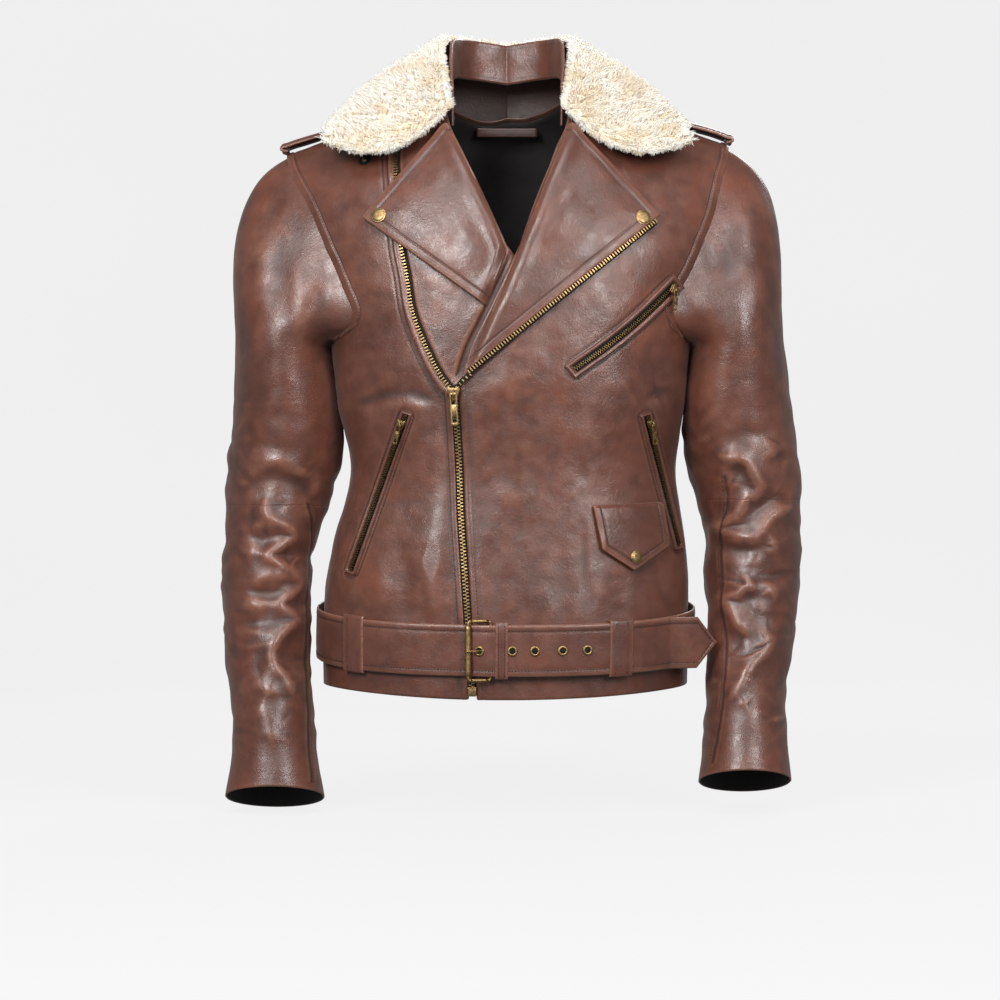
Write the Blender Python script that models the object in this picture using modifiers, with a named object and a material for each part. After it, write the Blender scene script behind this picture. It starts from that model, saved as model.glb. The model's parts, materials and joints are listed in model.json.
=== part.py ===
"""Leather riding jacket with an asymmetric zip, a shearling collar and a belt.

Lengths are millimetres in the design and metres in Blender.  X runs to the wearer's left,
Y to the wearer's back and Z up.  Heights are counted from the lowest point of the cuffs.
"""

import math

import bmesh
import bpy
from mathutils import Matrix, Vector

MM = 0.001
WELD = 1e-6

# Torso
ROUNDNESS = 2.4
FRONT_SHOULDER_DEPTH = 150
BACK_SHOULDER_DEPTH = 110
SHOULDER_HALF_WIDTH = 221
SHOULDER_SLOPE = 0.355
SHOULDER_HEIGHT = 656.5
SHOULDER_TILT = 4.5
NECK_HALF_WIDTH = 66
NECK_DEPTH = 72
RIDGE_Y = 10
ARMPIT = 462
HEM_FRONT = 113
HEM_RISE = 11
LEATHER = 1.6
CLOTH = 0.8
LINING_DEPTH = 9.0
BAG_DEPTHS = {"chest": 3.2, "hand_left": 5.6, "hand_right": 3.2, "coin": 3.0}
SEAM_GAP = 0.5
SIDE_SEAM = 1 - 4e-7

# Torso sections: height, middle, half width, depth of the front, depth of the back
SECTIONS = [
    (100, -2, 181, 118, 112),
    (200, -1, 182, 122, 115),
    (262, 2, 176, 118, 106),
    (336, 6, 162, 114, 100),
    (400, 5, 172.5, 120, 108),
    (450, 4, 178.5, 123, 114),
    (500, 4, 190, 123, 118),
    (560, 4, 215, 118, 116),
    (620, 2, 238, 110, 108),
    (680, 0, 245, 104, 98),
    (740, 0, 245, 100, 92),
]

# Seams of the armholes: height and half width, in front and behind
ARMHOLE_FRONT = [(462, 179), (470, 173), (480, 162), (492, 157), (515, 166), (535, 176),
                 (574, 193), (611, 207), (641, 218), (660, 221), (740, 221)]
ARMHOLE_BACK = [(462, 179), (470, 175), (484, 168), (505, 167), (535, 175), (574, 189),
                (611, 204), (641, 217), (660, 221), (740, 221)]

ARMHOLE_SHIFT = 6

# Edges and lines of the front: height and place across
ZIP_LOWER = [(116, -33.5), (190, -38), (248, -41.8), (293, -44.7), (347, -46.6), (412, -51)]
ZIP_RIGHT_UPPER = [(412, -54), (428, -66), (459, -81), (489, -92), (525, -98), (551, -103),
                   (621, -109), (646, -110)]
ROLL_LEFT = [(424, -44), (453, -35), (490, -16.7), (542, 7.5), (582, 24.9), (651, 48.4),
             (676, 59), (720, 66)]
ROLL_RIGHT = [(545, 2.5), (605, -24.4), (647, -44), (676, -57), (720, -66)]
ZIP_HALF_GAP = 4.5

# Lapels: (place across, height) of the neck, tip, foot and the middle of the roll line
LAPEL_LEFT = [(61, 674), (146, 582.5), (-38, 432), (8, 540)]
LAPEL_RIGHT = [(-58, 674), (-138.7, 580.5), (-20, 494), (-1, 545)]
LAPEL_LIFT = 6.0
LAPEL_THICK = 2.4

# Sleeves: height, outer side, inner side, front, back
SLEEVE_LEFT = [(455, 277, 186, -70, 72), (386, 286, 180, -64, 68), (345, 292, 181, -60, 66),
               (303, 295, 190, -57, 64), (268, 295, 198, -58, 60), (234, 293, 197, -62, 54),
               (194, 288, 200, -68, 44), (150, 283, 198, -75, 30), (109, 275, 197, -84, 16),
               (70, 277, 193, -94, 4), (30, 280, 188, -104, -6)]
SLEEVE_RIGHT = [(455, 272, 182, -70, 72), (386, 273, 171, -64, 68), (345, 278, 171, -60, 66),
                (299, 282, 180, -57, 64), (268, 282, 190, -58, 60), (238, 284, 195, -62, 54),
                (194, 283, 195, -68, 44), (150, 280, 195, -74, 32), (109, 275, 193, -82, 20),
                (60, 272, 188, -90, 8), (14, 278, 180, -98, -2)]
SLEEVE_CAP = 0.24
FOREARM_TILT = math.radians(17)
ELBOW_GAP = 0.006
ELBOW_AT = 0.575
ARMHOLE_CLEAR = 2.5

# Collar, one half: along it from the back of the neck, the fold line and the outer edge
FOLD = [(0, 0, 84, 772), (0.3, 50, 62, 776), (0.5, 67, 18, 771), (0.7, 68, -22, 748),
        (0.85, 64, -48, 720), (1, 59, -64, 692)]
FALL = [(0, 0, 118, 692), (0.3, 84, 106, 698), (0.5, 126, 76, 704), (0.7, 148, 28, 714),
        (0.85, 174, -28, 688), (1, 180, -68, 664)]
BELLY = [(0, 0, 122, 752), (0.3, 76, 98, 752), (0.5, 104, 52, 758), (0.7, 118, -2, 750),
         (0.85, 128, -56, 712), (1, 116, -114, 624)]
FUR = 8
WING_START = 0.44
WING_GAP = 0.03
STAND_HEIGHT = 38

# Zips
MAIN_SLIDER_Z = 409
SLIDER_HEIGHT = 4.2
SLIDER_LIFT = {"main": 4.2, "chest": 4.2, "hand_left": 4.9, "hand_right": 5.0}
PULL_LIFT = 5.6
PULL_THICK = 1.4

# Belt
BELT_WIDTH = 48
BELT_THICK = 2.2
BELT_LIFT = 4.2
TAIL_OVER = 9.8
BELT_FRONT = 161
BELT_SIDE_RISE = 16
TAIL_END = 197
HEEL_BAR_X = -16
ROLLER_X = -37
EYELET_X = (-26.5, 4.8, 26, 52, 75)
EYELET_BARREL = 3.4

FINISHES = {
    "leather": ((0.16, 0.062, 0.038), 0.42, 0.0),
    "edge_leather": ((0.12, 0.045, 0.028), 0.5, 0.0),
    "shearling": ((0.86, 0.78, 0.64), 0.95, 0.0),
    "lining": ((0.035, 0.024, 0.02), 0.5, 0.0),
    "pocketing": ((0.09, 0.075, 0.06), 0.9, 0.0),
    "brass": ((0.42, 0.29, 0.12), 0.38, 1.0),
}


def clear_scene():
    for old in list(bpy.data.objects):
        bpy.data.objects.remove(old, do_unlink=True)


def collection(name):
    group = bpy.data.collections.new(name)
    bpy.context.scene.collection.children.link(group)
    return group


def make_finishes():
    made = {}
    for name, (colour, roughness, metallic) in FINISHES.items():
        material = bpy.data.materials.new(name)
        material.use_nodes = True
        shader = material.node_tree.nodes["Principled BSDF"]
        shader.inputs["Base Color"].default_value = (*colour, 1)
        shader.inputs["Roughness"].default_value = roughness
        shader.inputs["Metallic"].default_value = metallic
        made[name] = material
    return made


# Curves through tables ------------------------------------------------------------------


def clamp(value, low=0.0, high=1.0):
    return min(max(value, low), high)


def lerp(start, end, share):
    return start + (end - start) * share


def ease(share):
    share = clamp(share)
    return share * share * (3 - 2 * share)


def along(table, at, column=1):
    """A smooth curve through one column of a table whose first column rises."""
    last = len(table) - 1
    at = clamp(at, table[0][0], table[-1][0])
    i = 0
    while i < last - 1 and at > table[i + 1][0]:
        i += 1
    span = table[i + 1][0] - table[i][0]
    share = (at - table[i][0]) / span

    def slope(k):
        before, after = max(k - 1, 0), min(k + 1, last)
        return (table[after][column] - table[before][column]) / (table[after][0] - table[before][0])

    start, end = table[i][column], table[i + 1][column]
    push, pull = slope(i) * span, slope(i + 1) * span
    square, cube = share * share, share ** 3
    return (start * (2 * cube - 3 * square + 1) + push * (cube - 2 * square + share)
            + end * (3 * square - 2 * cube) + pull * (cube - square))


def point_along(table, at):
    return Vector([along(table, at, column) for column in (1, 2, 3)])


# Torso ----------------------------------------------------------------------------------


def ridge(x):
    """Height of the shoulder line."""
    tip = SHOULDER_HEIGHT + SHOULDER_TILT * math.tanh(x / 40)
    return tip + SHOULDER_SLOPE * (SHOULDER_HALF_WIDTH - abs(x))


def shoulder_round(x, z, depth):
    """Share of the full depth that is left below the shoulder line."""
    share = clamp((ridge(x) - z) / depth)
    return math.sqrt(max(1 - (1 - share) ** 2, 1e-6))


def middle_y(z):
    return RIDGE_Y * ease((z - 380) / 240)


def body_at(phi, z):
    """The leather's outer surface: phi is 0 in front, a quarter turn at the left side."""
    power = 2 / ROUNDNESS
    sine, cosine = math.sin(phi), math.cos(phi)
    x = along(SECTIONS, z, 1) + along(SECTIONS, z, 2) * math.copysign(abs(sine) ** power, sine)
    front = cosine > 0
    depth = along(SECTIONS, z, 3 if front else 4)
    rounding = shoulder_round(x, z, FRONT_SHOULDER_DEPTH if front else BACK_SHOULDER_DEPTH)
    y = middle_y(z) - depth * rounding * math.copysign(abs(cosine) ** power, cosine)
    return Vector((x, y, z))


def body(phi, z, lift=0.0):
    """A point lifted off the leather along its normal."""
    point = body_at(phi, z)
    if not lift:
        return point
    turn = body_at(phi + 0.01, z) - body_at(phi - 0.01, z)
    rise = body_at(phi, z + 1) - body_at(phi, z - 1)
    return point + turn.cross(rise).normalized() * lift


def phi_at(x, z, back=False):
    """The angle at which the section of height z reaches x."""
    share = clamp((x - along(SECTIONS, z, 1)) / along(SECTIONS, z, 2), -1, 1)
    phi = math.asin(math.copysign(abs(share) ** (ROUNDNESS / 2), share))
    return math.pi - phi if back else phi


def front(x, z, lift=0.0):
    return body(phi_at(x, z), z, lift)


def front_normal(x, z):
    return (front(x, z, 1) - front(x, z)).normalized()


def hem(x):
    return HEM_FRONT + HEM_RISE * (x / 185) ** 2


def neckline(x):
    """Top edge of the back: the shoulder line, and the scoop behind the neck."""
    if abs(x) >= NECK_HALF_WIDTH:
        return ridge(x)
    reach = NECK_DEPTH * math.sqrt(1 - (x / NECK_HALF_WIDTH) ** 2)
    share = clamp(reach / along(SECTIONS, 690, 4), 0, 0.999)
    return ridge(x) - BACK_SHOULDER_DEPTH * (1 - math.sqrt(1 - share * share))


def panel(first, second, back, u, v, lift):
    """A torso panel between two edges, which give x for a height, from hem to top seam."""
    z = lerp(HEM_FRONT, SHOULDER_HEIGHT, v)
    for _ in range(12):
        phi = lerp(phi_at(first(z), z, back), phi_at(second(z), z, back), u)
        x = body_at(phi, z).x
        top = neckline(x) if back else ridge(x)
        z = lerp(z, lerp(hem(x), top - SEAM_GAP, v), 0.7)
    return body(phi, z, lift)


def side_edge(side, table):
    """x of a panel's outer edge: the side seam below the armpit, the armhole above it."""

    def edge(z):
        if z <= ARMPIT:
            return along(SECTIONS, z, 1) + side * along(SECTIONS, z, 2) * SIDE_SEAM
        shift = ARMHOLE_SHIFT * ease((z - ARMPIT) / 30) * ease((640 - z) / 60)
        below = along(SECTIONS, ARMPIT, 1) * ease((500 - z) / 38)
        return side * (along(table, z) - SEAM_GAP) + shift + below

    return edge


def left_front_edge(z):
    """Wearer's left: beside the closed zip, then up the roll line of the lapel."""
    beside_zip = along(ZIP_LOWER, z) + ZIP_HALF_GAP
    return lerp(beside_zip, along(ROLL_LEFT, z), ease((z - 405) / 20))


def right_front_edge(z):
    """Wearer's right: beside the closed zip, under the left front, then up its roll line."""
    beside_zip = along(ZIP_LOWER, z) - ZIP_HALF_GAP
    under = along(ROLL_LEFT, z) - 4.5
    upper = lerp(under, along(ROLL_RIGHT, z), ease((z - 530) / 24))
    return lerp(beside_zip, upper, ease((z - 405) / 20))


# Making objects -------------------------------------------------------------------------


def add(name, mesh, finish):
    part = bpy.data.objects.new(name, mesh)
    mesh.materials.append(finishes[finish])
    jacket.objects.link(part)
    part.parent = origin
    return part


def sheet(name, place, across, up, thickness, finish, wrap=False, pivot=(0, 0, 0)):
    """A grid bent to place(u, v) and thickened to its inner side."""
    shape = bmesh.new()
    bmesh.ops.create_grid(shape, x_segments=across, y_segments=up, size=0.5)
    for vert in shape.verts:
        vert.co = (Vector(place(vert.co.x + 0.5, vert.co.y + 0.5)) - Vector(pivot)) * MM
    if wrap:
        bmesh.ops.remove_doubles(shape, verts=shape.verts, dist=WELD)
    mesh = bpy.data.meshes.new(name)
    shape.to_mesh(mesh)
    shape.free()
    part = add(name, mesh, finish)
    part.location = Vector(pivot) * MM
    shell = part.modifiers.new("thickness", "SOLIDIFY")
    shell.thickness = thickness * MM
    shell.offset = -1
    mesh.shade_smooth()
    return part


def facing(normal, upward):
    """A rotation that takes Z to the normal and Y as near upward as it can be."""
    z_axis = Vector(normal).normalized()
    x_axis = Vector(upward).cross(z_axis).normalized()
    y_axis = z_axis.cross(x_axis)
    return Matrix((x_axis, y_axis, z_axis)).transposed()


def put(part, place, normal, upward=(0, 0, 1)):
    part.location = Vector(place) * MM
    part.rotation_euler = facing(normal, upward).to_euler()
    return part


def turned(name, profile, finish, steps=16):
    """A round piece about Z from (radius, height) points, from the top down the outside."""
    shape = bmesh.new()
    verts = [shape.verts.new((radius * MM, 0, height * MM)) for radius, height in profile]
    for first, second in zip(verts, verts[1:]):
        shape.edges.new((first, second))
    if profile[0][0] > 0:
        shape.edges.new((verts[-1], verts[0]))
    mesh = bpy.data.meshes.new(name)
    shape.to_mesh(mesh)
    shape.free()
    part = add(name, mesh, finish)
    screw = part.modifiers.new("turn", "SCREW")
    screw.steps = steps
    screw.render_steps = steps
    screw.use_merge_vertices = True
    screw.merge_threshold = 0.00002
    return part


def block(name, size, finish, bevel=0.0, shift=(0, 0, 0), taper=1.0):
    """A box with rounded edges, its lower end narrowed by taper."""
    shape = bmesh.new()
    bmesh.ops.create_cube(shape, size=1)
    for vert in shape.verts:
        narrow = taper if vert.co.y < 0 else 1.0
        vert.co = Vector([(vert.co[i] * size[i] + shift[i]) * MM for i in range(3)])
        vert.co.x *= narrow
    mesh = bpy.data.meshes.new(name)
    shape.to_mesh(mesh)
    shape.free()
    part = add(name, mesh, finish)
    if bevel:
        rounding = part.modifiers.new("edges", "BEVEL")
        rounding.width = bevel * MM
        rounding.segments = 1
    return part


def plate(name, outlines, thickness, finish):
    """A flat piece from closed outlines in XY, the first its rim and the others its holes."""
    curve = bpy.data.curves.new(name, "CURVE")
    curve.dimensions = "2D"
    curve.fill_mode = "BOTH"
    curve.extrude = thickness / 2 * MM
    for outline in outlines:
        spline = curve.splines.new("POLY")
        spline.points.add(len(outline) - 1)
        for point, (x, y) in zip(spline.points, outline):
            point.co = (x * MM, y * MM, 0, 1)
        spline.use_cyclic_u = True
    curve.materials.append(finishes[finish])
    part = bpy.data.objects.new(name, curve)
    jacket.objects.link(part)
    part.parent = origin
    return part


def rod(name, points, radius, finish, closed=False):
    """A round wire through points, straight between them."""
    curve = bpy.data.curves.new(name, "CURVE")
    curve.dimensions = "3D"
    curve.bevel_depth = radius * MM
    curve.bevel_resolution = 2
    curve.use_fill_caps = not closed
    spline = curve.splines.new("POLY")
    spline.points.add(len(points) - 1)
    for point, place in zip(spline.points, points):
        point.co = (*(Vector(place) * MM), 1)
    spline.use_cyclic_u = closed
    curve.materials.append(finishes[finish])
    part = bpy.data.objects.new(name, curve)
    jacket.objects.link(part)
    part.parent = origin
    return part


def oblong(half_width, top, bottom, corner=1.5):
    """An upright rectangle with cut corners."""
    return [(-half_width + corner, top), (half_width - corner, top),
            (half_width, top - corner), (half_width, bottom + corner),
            (half_width - corner, bottom), (-half_width + corner, bottom),
            (-half_width, bottom + corner), (-half_width, top - corner)]


# Leather shell --------------------------------------------------------------------------


def make_torso():
    left, right = side_edge(1, ARMHOLE_FRONT), side_edge(-1, ARMHOLE_FRONT)
    back_left, back_right = side_edge(1, ARMHOLE_BACK), side_edge(-1, ARMHOLE_BACK)
    layers = (("{}_panel", "leather", 0.0, LEATHER, 1.0),
              ("lining_{}", "lining", -LINING_DEPTH, CLOTH, 0.7))
    for names, finish, lift, thickness, fine in layers:
        rows = round(18 * fine)
        sheet(names.format("front_left"), lambda u, v: panel(left_front_edge, left, False, u, v, lift),
              round(10 * fine), rows, thickness, finish)
        sheet(names.format("front_right"),
              lambda u, v: panel(right, right_front_edge, False, u, v, lift),
              round(9 * fine), rows, thickness, finish)
        sheet(names.format("back"), lambda u, v: panel(back_left, back_right, True, u, v, lift),
              round(16 * fine), rows, thickness, finish)


def patch(corners, u, v):
    """A point inside the quadrilateral neck, tip, foot, roll."""
    neck, tip, foot, roll = [Vector(corner) for corner in corners]
    return lerp(lerp(neck, tip, u), lerp(roll, foot, u), v)


def make_lapels():
    """The turned-back fronts, free at their points and hinged on their roll lines."""
    for side, corners in (("left", LAPEL_LEFT), ("right", LAPEL_RIGHT)):

        def place(u, v):
            u = u if side == "left" else 1 - u
            x, z = patch(corners, u, 1 - v)
            return front(x, z, LAPEL_LIFT + LAPEL_THICK)

        sheet(f"lapel_{side}", place, 7, 6, LAPEL_THICK, "leather")
        tip = Vector(corners[1])
        inward = (Vector(corners[0]) + Vector(corners[2]) - 2 * tip).normalized()
        x, z = tip + inward * 16
        profile = [(0, 2.4), (4, 2.2), (6.8, 1.2), (7.5, 0.2), (7.2, 0), (0, 0)]
        cap = turned(f"lapel_snap_{side}", profile, "brass")
        put(cap, front(x, z, LAPEL_LIFT + LAPEL_THICK + 0.6), front_normal(x, z))


def armhole(side, theta):
    """The loop where a sleeve is set in: theta 0 at the shoulder, a half turn at the armpit."""
    ahead = math.sin(theta) >= 0
    tip = ridge(side * SHOULDER_HALF_WIDTH) - 2
    z = lerp(ARMPIT, tip, (1 + math.cos(theta)) / 2)
    x = side_edge(side, ARMHOLE_FRONT if ahead else ARMHOLE_BACK)(z)
    point = body(phi_at(x, z, not ahead), z)
    return lerp(Vector((point.x, middle_y(z), z)), point, ease(abs(math.sin(theta)) * 4))


def sleeve_section(side, theta, share):
    """A ring of the sleeve below its cap; share 0 is its top and 1 the cuff."""
    table = SLEEVE_LEFT if side > 0 else SLEEVE_RIGHT
    z = lerp(table[0][0], table[-1][0], share)
    downward = [(-row[0], *row[1:]) for row in table]
    outer, inner, ahead, behind = [along(downward, -z, column) for column in (1, 2, 3, 4)]
    tilt = FOREARM_TILT * ease((share - 0.3) / 0.3)
    across = (outer - inner) / 2 * math.cos(theta)
    deep = (behind - ahead) / 2 * -math.sin(theta)
    return Vector((side * ((outer + inner) / 2 + across),
                   (ahead + behind) / 2 + deep * math.cos(tilt), z - deep * math.sin(tilt)))


def sleeve(side, theta, share):
    """A sleeve from the armhole, share 0, to the cuff, share 1."""
    if share >= SLEEVE_CAP:
        return sleeve_section(side, theta, (share - SLEEVE_CAP) / (1 - SLEEVE_CAP))
    start = armhole(side, theta) + Vector((side * ARMHOLE_CLEAR, 0, 0))
    end = sleeve_section(side, theta, 0)
    reach = (end - start).length * 1.15
    outward = 0.35 + 0.65 * max(math.cos(theta), 0)
    leave = Vector((side * outward, -0.15 * math.sin(theta), -1 + 0.55 * max(math.cos(theta), 0)))
    leave = leave.normalized() * reach
    arrive = (sleeve_section(side, theta, 0.02) - end) * (reach / 10)
    t = share / SLEEVE_CAP
    return (start * (2 * t ** 3 - 3 * t ** 2 + 1) + leave * (t ** 3 - 2 * t ** 2 + t)
            + end * (3 * t ** 2 - 2 * t ** 3) + arrive * (t ** 3 - t ** 2))


def make_sleeves():
    for side, word in ((1, "left"), (-1, "right")):

        def upper(u, v):
            return sleeve(side, -side * u * math.tau, lerp(ELBOW_AT, 0.0, v))

        def lower(u, v):
            return sleeve(side, -side * u * math.tau, lerp(1.0, ELBOW_AT + ELBOW_GAP, v))

        sheet(f"sleeve_upper_{word}", upper, 16, 10, LEATHER, "leather", wrap=True)
        sheet(f"sleeve_lower_{word}", lower, 16, 7, LEATHER, "leather", wrap=True)


def make_epaulettes():
    """Straps sewn into the armhole seams, their inner ends under the collar."""
    path = [(0, 219, 4), (0.1, 226, 7), (0.2, 222, 11), (0.5, 190, 10), (0.8, 168, 7), (1, 152, 4)]
    for side, word in ((1, "left"), (-1, "right")):

        def place(u, v):
            u = u if side > 0 else 1 - u
            x = side * along(path, u, 1)
            y = RIDGE_Y + (v - 0.5) * 36
            sag = (v - 0.5) ** 2 * 16
            return x, y, ridge(min(abs(x), SHOULDER_HALF_WIDTH) * side) + along(path, u, 2) - sag

        sheet(f"epaulette_{word}", place, 12, 2, 2.2, "leather")


def collar_point(side, s, r):
    """The shearling's outer surface: s from the back of the neck, r from fold to edge."""
    fold, belly, edge = point_along(FOLD, s), point_along(BELLY, s), point_along(FALL, s)
    point = fold * (1 - r) ** 2 + belly * 2 * r * (1 - r) + edge * r * r
    return Vector((side * point.x, point.y, point.z))


def make_collar():
    def wing(side):
        def place(u, v):
            from_back = u if side < 0 else 1 - u
            return collar_point(side, lerp(WING_START + WING_GAP, 1, from_back), 1 - v)

        return place

    def back(u, v):
        s = (u - 0.5) * 2 * WING_START
        return collar_point(-1 if s > 0 else 1, abs(s), 1 - v)

    def stand(u, v):
        s = (u - 0.5) * 2 * 0.86
        fold = collar_point(-1 if s > 0 else 1, abs(s), 0)
        inward = Vector((fold.x, fold.y - RIDGE_Y, 0)).normalized() * (FUR + 3.5)
        return fold - inward - Vector((0, 0, 4 + (1 - v) * STAND_HEIGHT))

    sheet("collar_fur_left", wing(1), 9, 6, FUR, "shearling")
    sheet("collar_fur_right", wing(-1), 9, 6, FUR, "shearling")
    sheet("collar_fur_back", back, 12, 5, FUR, "shearling")
    sheet("collar_stand", stand, 18, 3, 3, "leather")


# Zips -----------------------------------------------------------------------------------


def ribbon(name, path, half_width, lift, thickness, steps, finish):
    """A strip on the front whose middle runs along path(t), an (x, height) pair."""

    def place(u, v):
        x, z = path(v)
        before, after = Vector(path(max(v - 0.01, 0))), Vector(path(min(v + 0.01, 1)))
        run = (after - before).normalized()
        side = (u - 0.5) * 2 * half_width
        return front(x + run.y * side, z - run.x * side, lift + thickness)

    return sheet(name, place, 2, steps, thickness, finish)


def rising(table, low, high):
    """The run of a table's curve between two heights."""

    def path(t):
        z = lerp(low, high, t)
        return along(table, z), z

    return path


def lapel_zip_path(t):
    """The upper left half runs just outside the lapel's lower edge."""
    foot, tip = Vector(LAPEL_LEFT[2]), Vector(LAPEL_LEFT[1])
    return tuple(lerp(foot, tip, t) + Vector((3.2, -3.8)))


def make_slider(name, x, z, upward, hang, lift, width, length, pull_length):
    """A slider that closes upward, its pull hanging from the bail on its back."""
    normal = front_normal(x, z)
    slider = block(f"{name}_slider", (width, length, SLIDER_HEIGHT), "brass", 0.7,
                   (0, 0, SLIDER_HEIGHT / 2), 0.78)
    put(slider, front(x, z, lift), normal, upward)
    pull_width = width * 0.3
    pull = plate(f"{name}_pull", [oblong(pull_width, 0.9, -pull_length),
                                  oblong(pull_width * 0.5, -1.6, -pull_length * 0.3, 0.6),
                                  oblong(pull_width * 0.5, -pull_length * 0.72, -pull_length * 0.9, 0.6)],
                 PULL_THICK, "brass")
    put(pull, front(x, z, lift + PULL_LIFT), normal, hang)


def make_main_zip():
    lower = rising(ZIP_LOWER, 128, 404)
    ribbon("main_zip_left", lower, 3.2, 0.7, 2.2, 10, "brass")
    ribbon("main_zip_right", rising(ZIP_RIGHT_UPPER, 426, 640), 3.2, 0.9, 2.2, 10, "brass")
    ribbon("main_zip_left_upper", lapel_zip_path, 2.8, LAPEL_LIFT - 1.2, 2.2, 8, "brass")
    x = along(ZIP_LOWER, MAIN_SLIDER_Z)
    upward = Vector((-0.05, 0, 1))
    make_slider("main_zip", x, MAIN_SLIDER_Z, upward, upward, SLIDER_LIFT["main"], 12.5, 12, 31)
    box = block("main_zip_box", (8.5, 9, 4), "brass", 0.6)
    put(box, front(along(ZIP_LOWER, 121), 121, 3.4), front_normal(along(ZIP_LOWER, 121), 121))


def line_path(start, end, bow=0.0):
    """A nearly straight run, bowed to its lower side."""

    def path(t):
        point = lerp(Vector(start), Vector(end), t)
        run = (Vector(end) - Vector(start)).normalized()
        return tuple(point + Vector((run.y, -run.x)) * bow * math.sin(math.pi * t))

    return path


def round_rectangle(share):
    """Down the right, across the foot, up the left and across the top, each from -1 to 1."""
    step = share * 8
    if step <= 3:
        return 1, 1 - 2 * step / 3
    if step <= 4:
        return 1 - 2 * (step - 3), -1
    if step <= 7:
        return -1, -1 + 2 * (step - 4) / 3
    return -1 + 2 * (step - 7), 1


POCKETS = {
    "chest": ((65.5, 433), (163, 516), 4.0, 7.5),
    "hand_left": ((168.5, 262), (135.5, 386), 0.0, 5.0),
    "hand_right": ((-152, 238), (-98.5, 387), 0.0, 5.0),
}


def make_pockets():
    for name, (low, high, bow, half_width) in POCKETS.items():
        path = line_path(low, high, bow)
        run = (Vector(high) - Vector(low)).normalized()
        ribbon(f"{name}_zip", path, 2.6, 1.2, 2.0, 10, "brass")

        def frame(u, v):
            """Round the opening by v, and from the rim in to the slit by u."""
            aside, reach = round_rectangle(v)
            long = (Vector(high) - Vector(low)).length
            half = lerp(half_width, 3.6, u)
            extent = lerp(long / 2 + half_width - 1.4, long / 2 + 2, u)
            t = 0.5 + reach * extent / long
            x, z = path(clamp(t))
            extra = (t - clamp(t)) * long
            side = aside * half
            return front(x + run.x * extra + run.y * side, z + run.y * extra - run.x * side, 3.0)

        sheet(f"{name}_welt", frame, 1, 32, 1.8, "edge_leather", wrap=True)
        upward = Vector((run.x, 0, run.y))
        x, z = path(0.955)
        hang = Vector((0, 0, 1)) if name == "chest" else upward
        make_slider(name, x, z, upward, hang, SLIDER_LIFT[name], 8.5, 9, 20)
        bag = line_path(lerp(Vector(low), Vector(high), 0.1), lerp(Vector(low), Vector(high), 0.9), bow)
        depth = 60 if name == "chest" else 70

        def lining_bag(u, v):
            x, z = bag(v)
            inward = -1 if x > 0 else 1
            share = 1 - u if x > 0 else u
            return front(x + inward * share * depth * 0.5, z - share * depth * 0.5, -BAG_DEPTHS[name])

        sheet(f"{name}_bag", lining_bag, 4, 6, 0.8, "pocketing")


# Coin pocket ------------------------------------------------------------------------------

FLAP_TOP = ((83, 300), (149, 303))
FLAP_FOOT = ((91, 258), (121.5, 238), (155, 262))


def make_coin_pocket():
    """A pointed flap that hangs from its top edge and snaps shut over a small bag."""
    (x0, z0), (x1, z1) = FLAP_TOP
    pivot = front((x0 + x1) / 2, (z0 + z1) / 2, 2.6)

    def place(u, v):
        top = lerp(Vector(FLAP_TOP[0]), Vector(FLAP_TOP[1]), u)
        feet = [Vector(foot) for foot in FLAP_FOOT]
        foot = lerp(feet[0], feet[1], u * 2) if u < 0.5 else lerp(feet[1], feet[2], u * 2 - 1)
        x, z = lerp(foot, top, v)
        return front(x, z, 5.0)

    sheet("coin_flap", place, 8, 5, 2.2, "leather", pivot=pivot)
    spot = (122.5, 250)
    profile = [(0, 2.2), (3.6, 2.0), (6.0, 1.1), (6.6, 0.2), (6.3, 0), (0, 0)]
    put(turned("coin_snap_cap", profile, "brass"), front(*spot, 5.5), front_normal(*spot))
    stud = [(0, 1.6), (2.4, 1.6), (2.4, 0.8), (5, 0.8), (5, 0), (0, 0)]
    put(turned("coin_snap_stud", stud, "brass", 12), front(*spot, 0.6), front_normal(*spot))

    def bag(u, v):
        return front(lerp(88, 146, u), lerp(215, 296, v), -BAG_DEPTHS["coin"])

    sheet("coin_pocket_bag", bag, 4, 5, 0.8, "pocketing")


# Belt -------------------------------------------------------------------------------------


def belt_height(phi):
    return BELT_FRONT + BELT_SIDE_RISE * (1 - max(math.cos(phi), -0.4)) / 1.1


def belt(phi, up, lift):
    """A point of the belt: up is its height off the middle."""
    return body(phi, belt_height(phi) + up, lift)


def tail_lift(x):
    """The tail lies on the jacket, rises over the heel bar and lies on the other end."""
    return lerp(BELT_LIFT, TAIL_OVER, ease((x - ROLLER_X + 9) / 30))


def tail(u, v):
    """Round from the wearer's right to the free point, which leaves the body at its side."""
    start, leave = math.radians(-89), phi_at(150, BELT_FRONT)
    reach = lerp(0, 1.16, u)
    phi = lerp(start, leave, min(reach, 1))
    point_share = clamp((1 - u) / 0.055, 0.04, 1)
    up = (v - 0.5) * BELT_WIDTH * point_share
    at = body_at(phi, belt_height(phi)).x
    spot = belt(phi, up, tail_lift(at) + BELT_THICK)
    if reach > 1:
        spot += Vector((0.9, 0.43, 0)) * (TAIL_END - 150) / 0.9 * (reach - 1) / 0.16
    return spot


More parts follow.
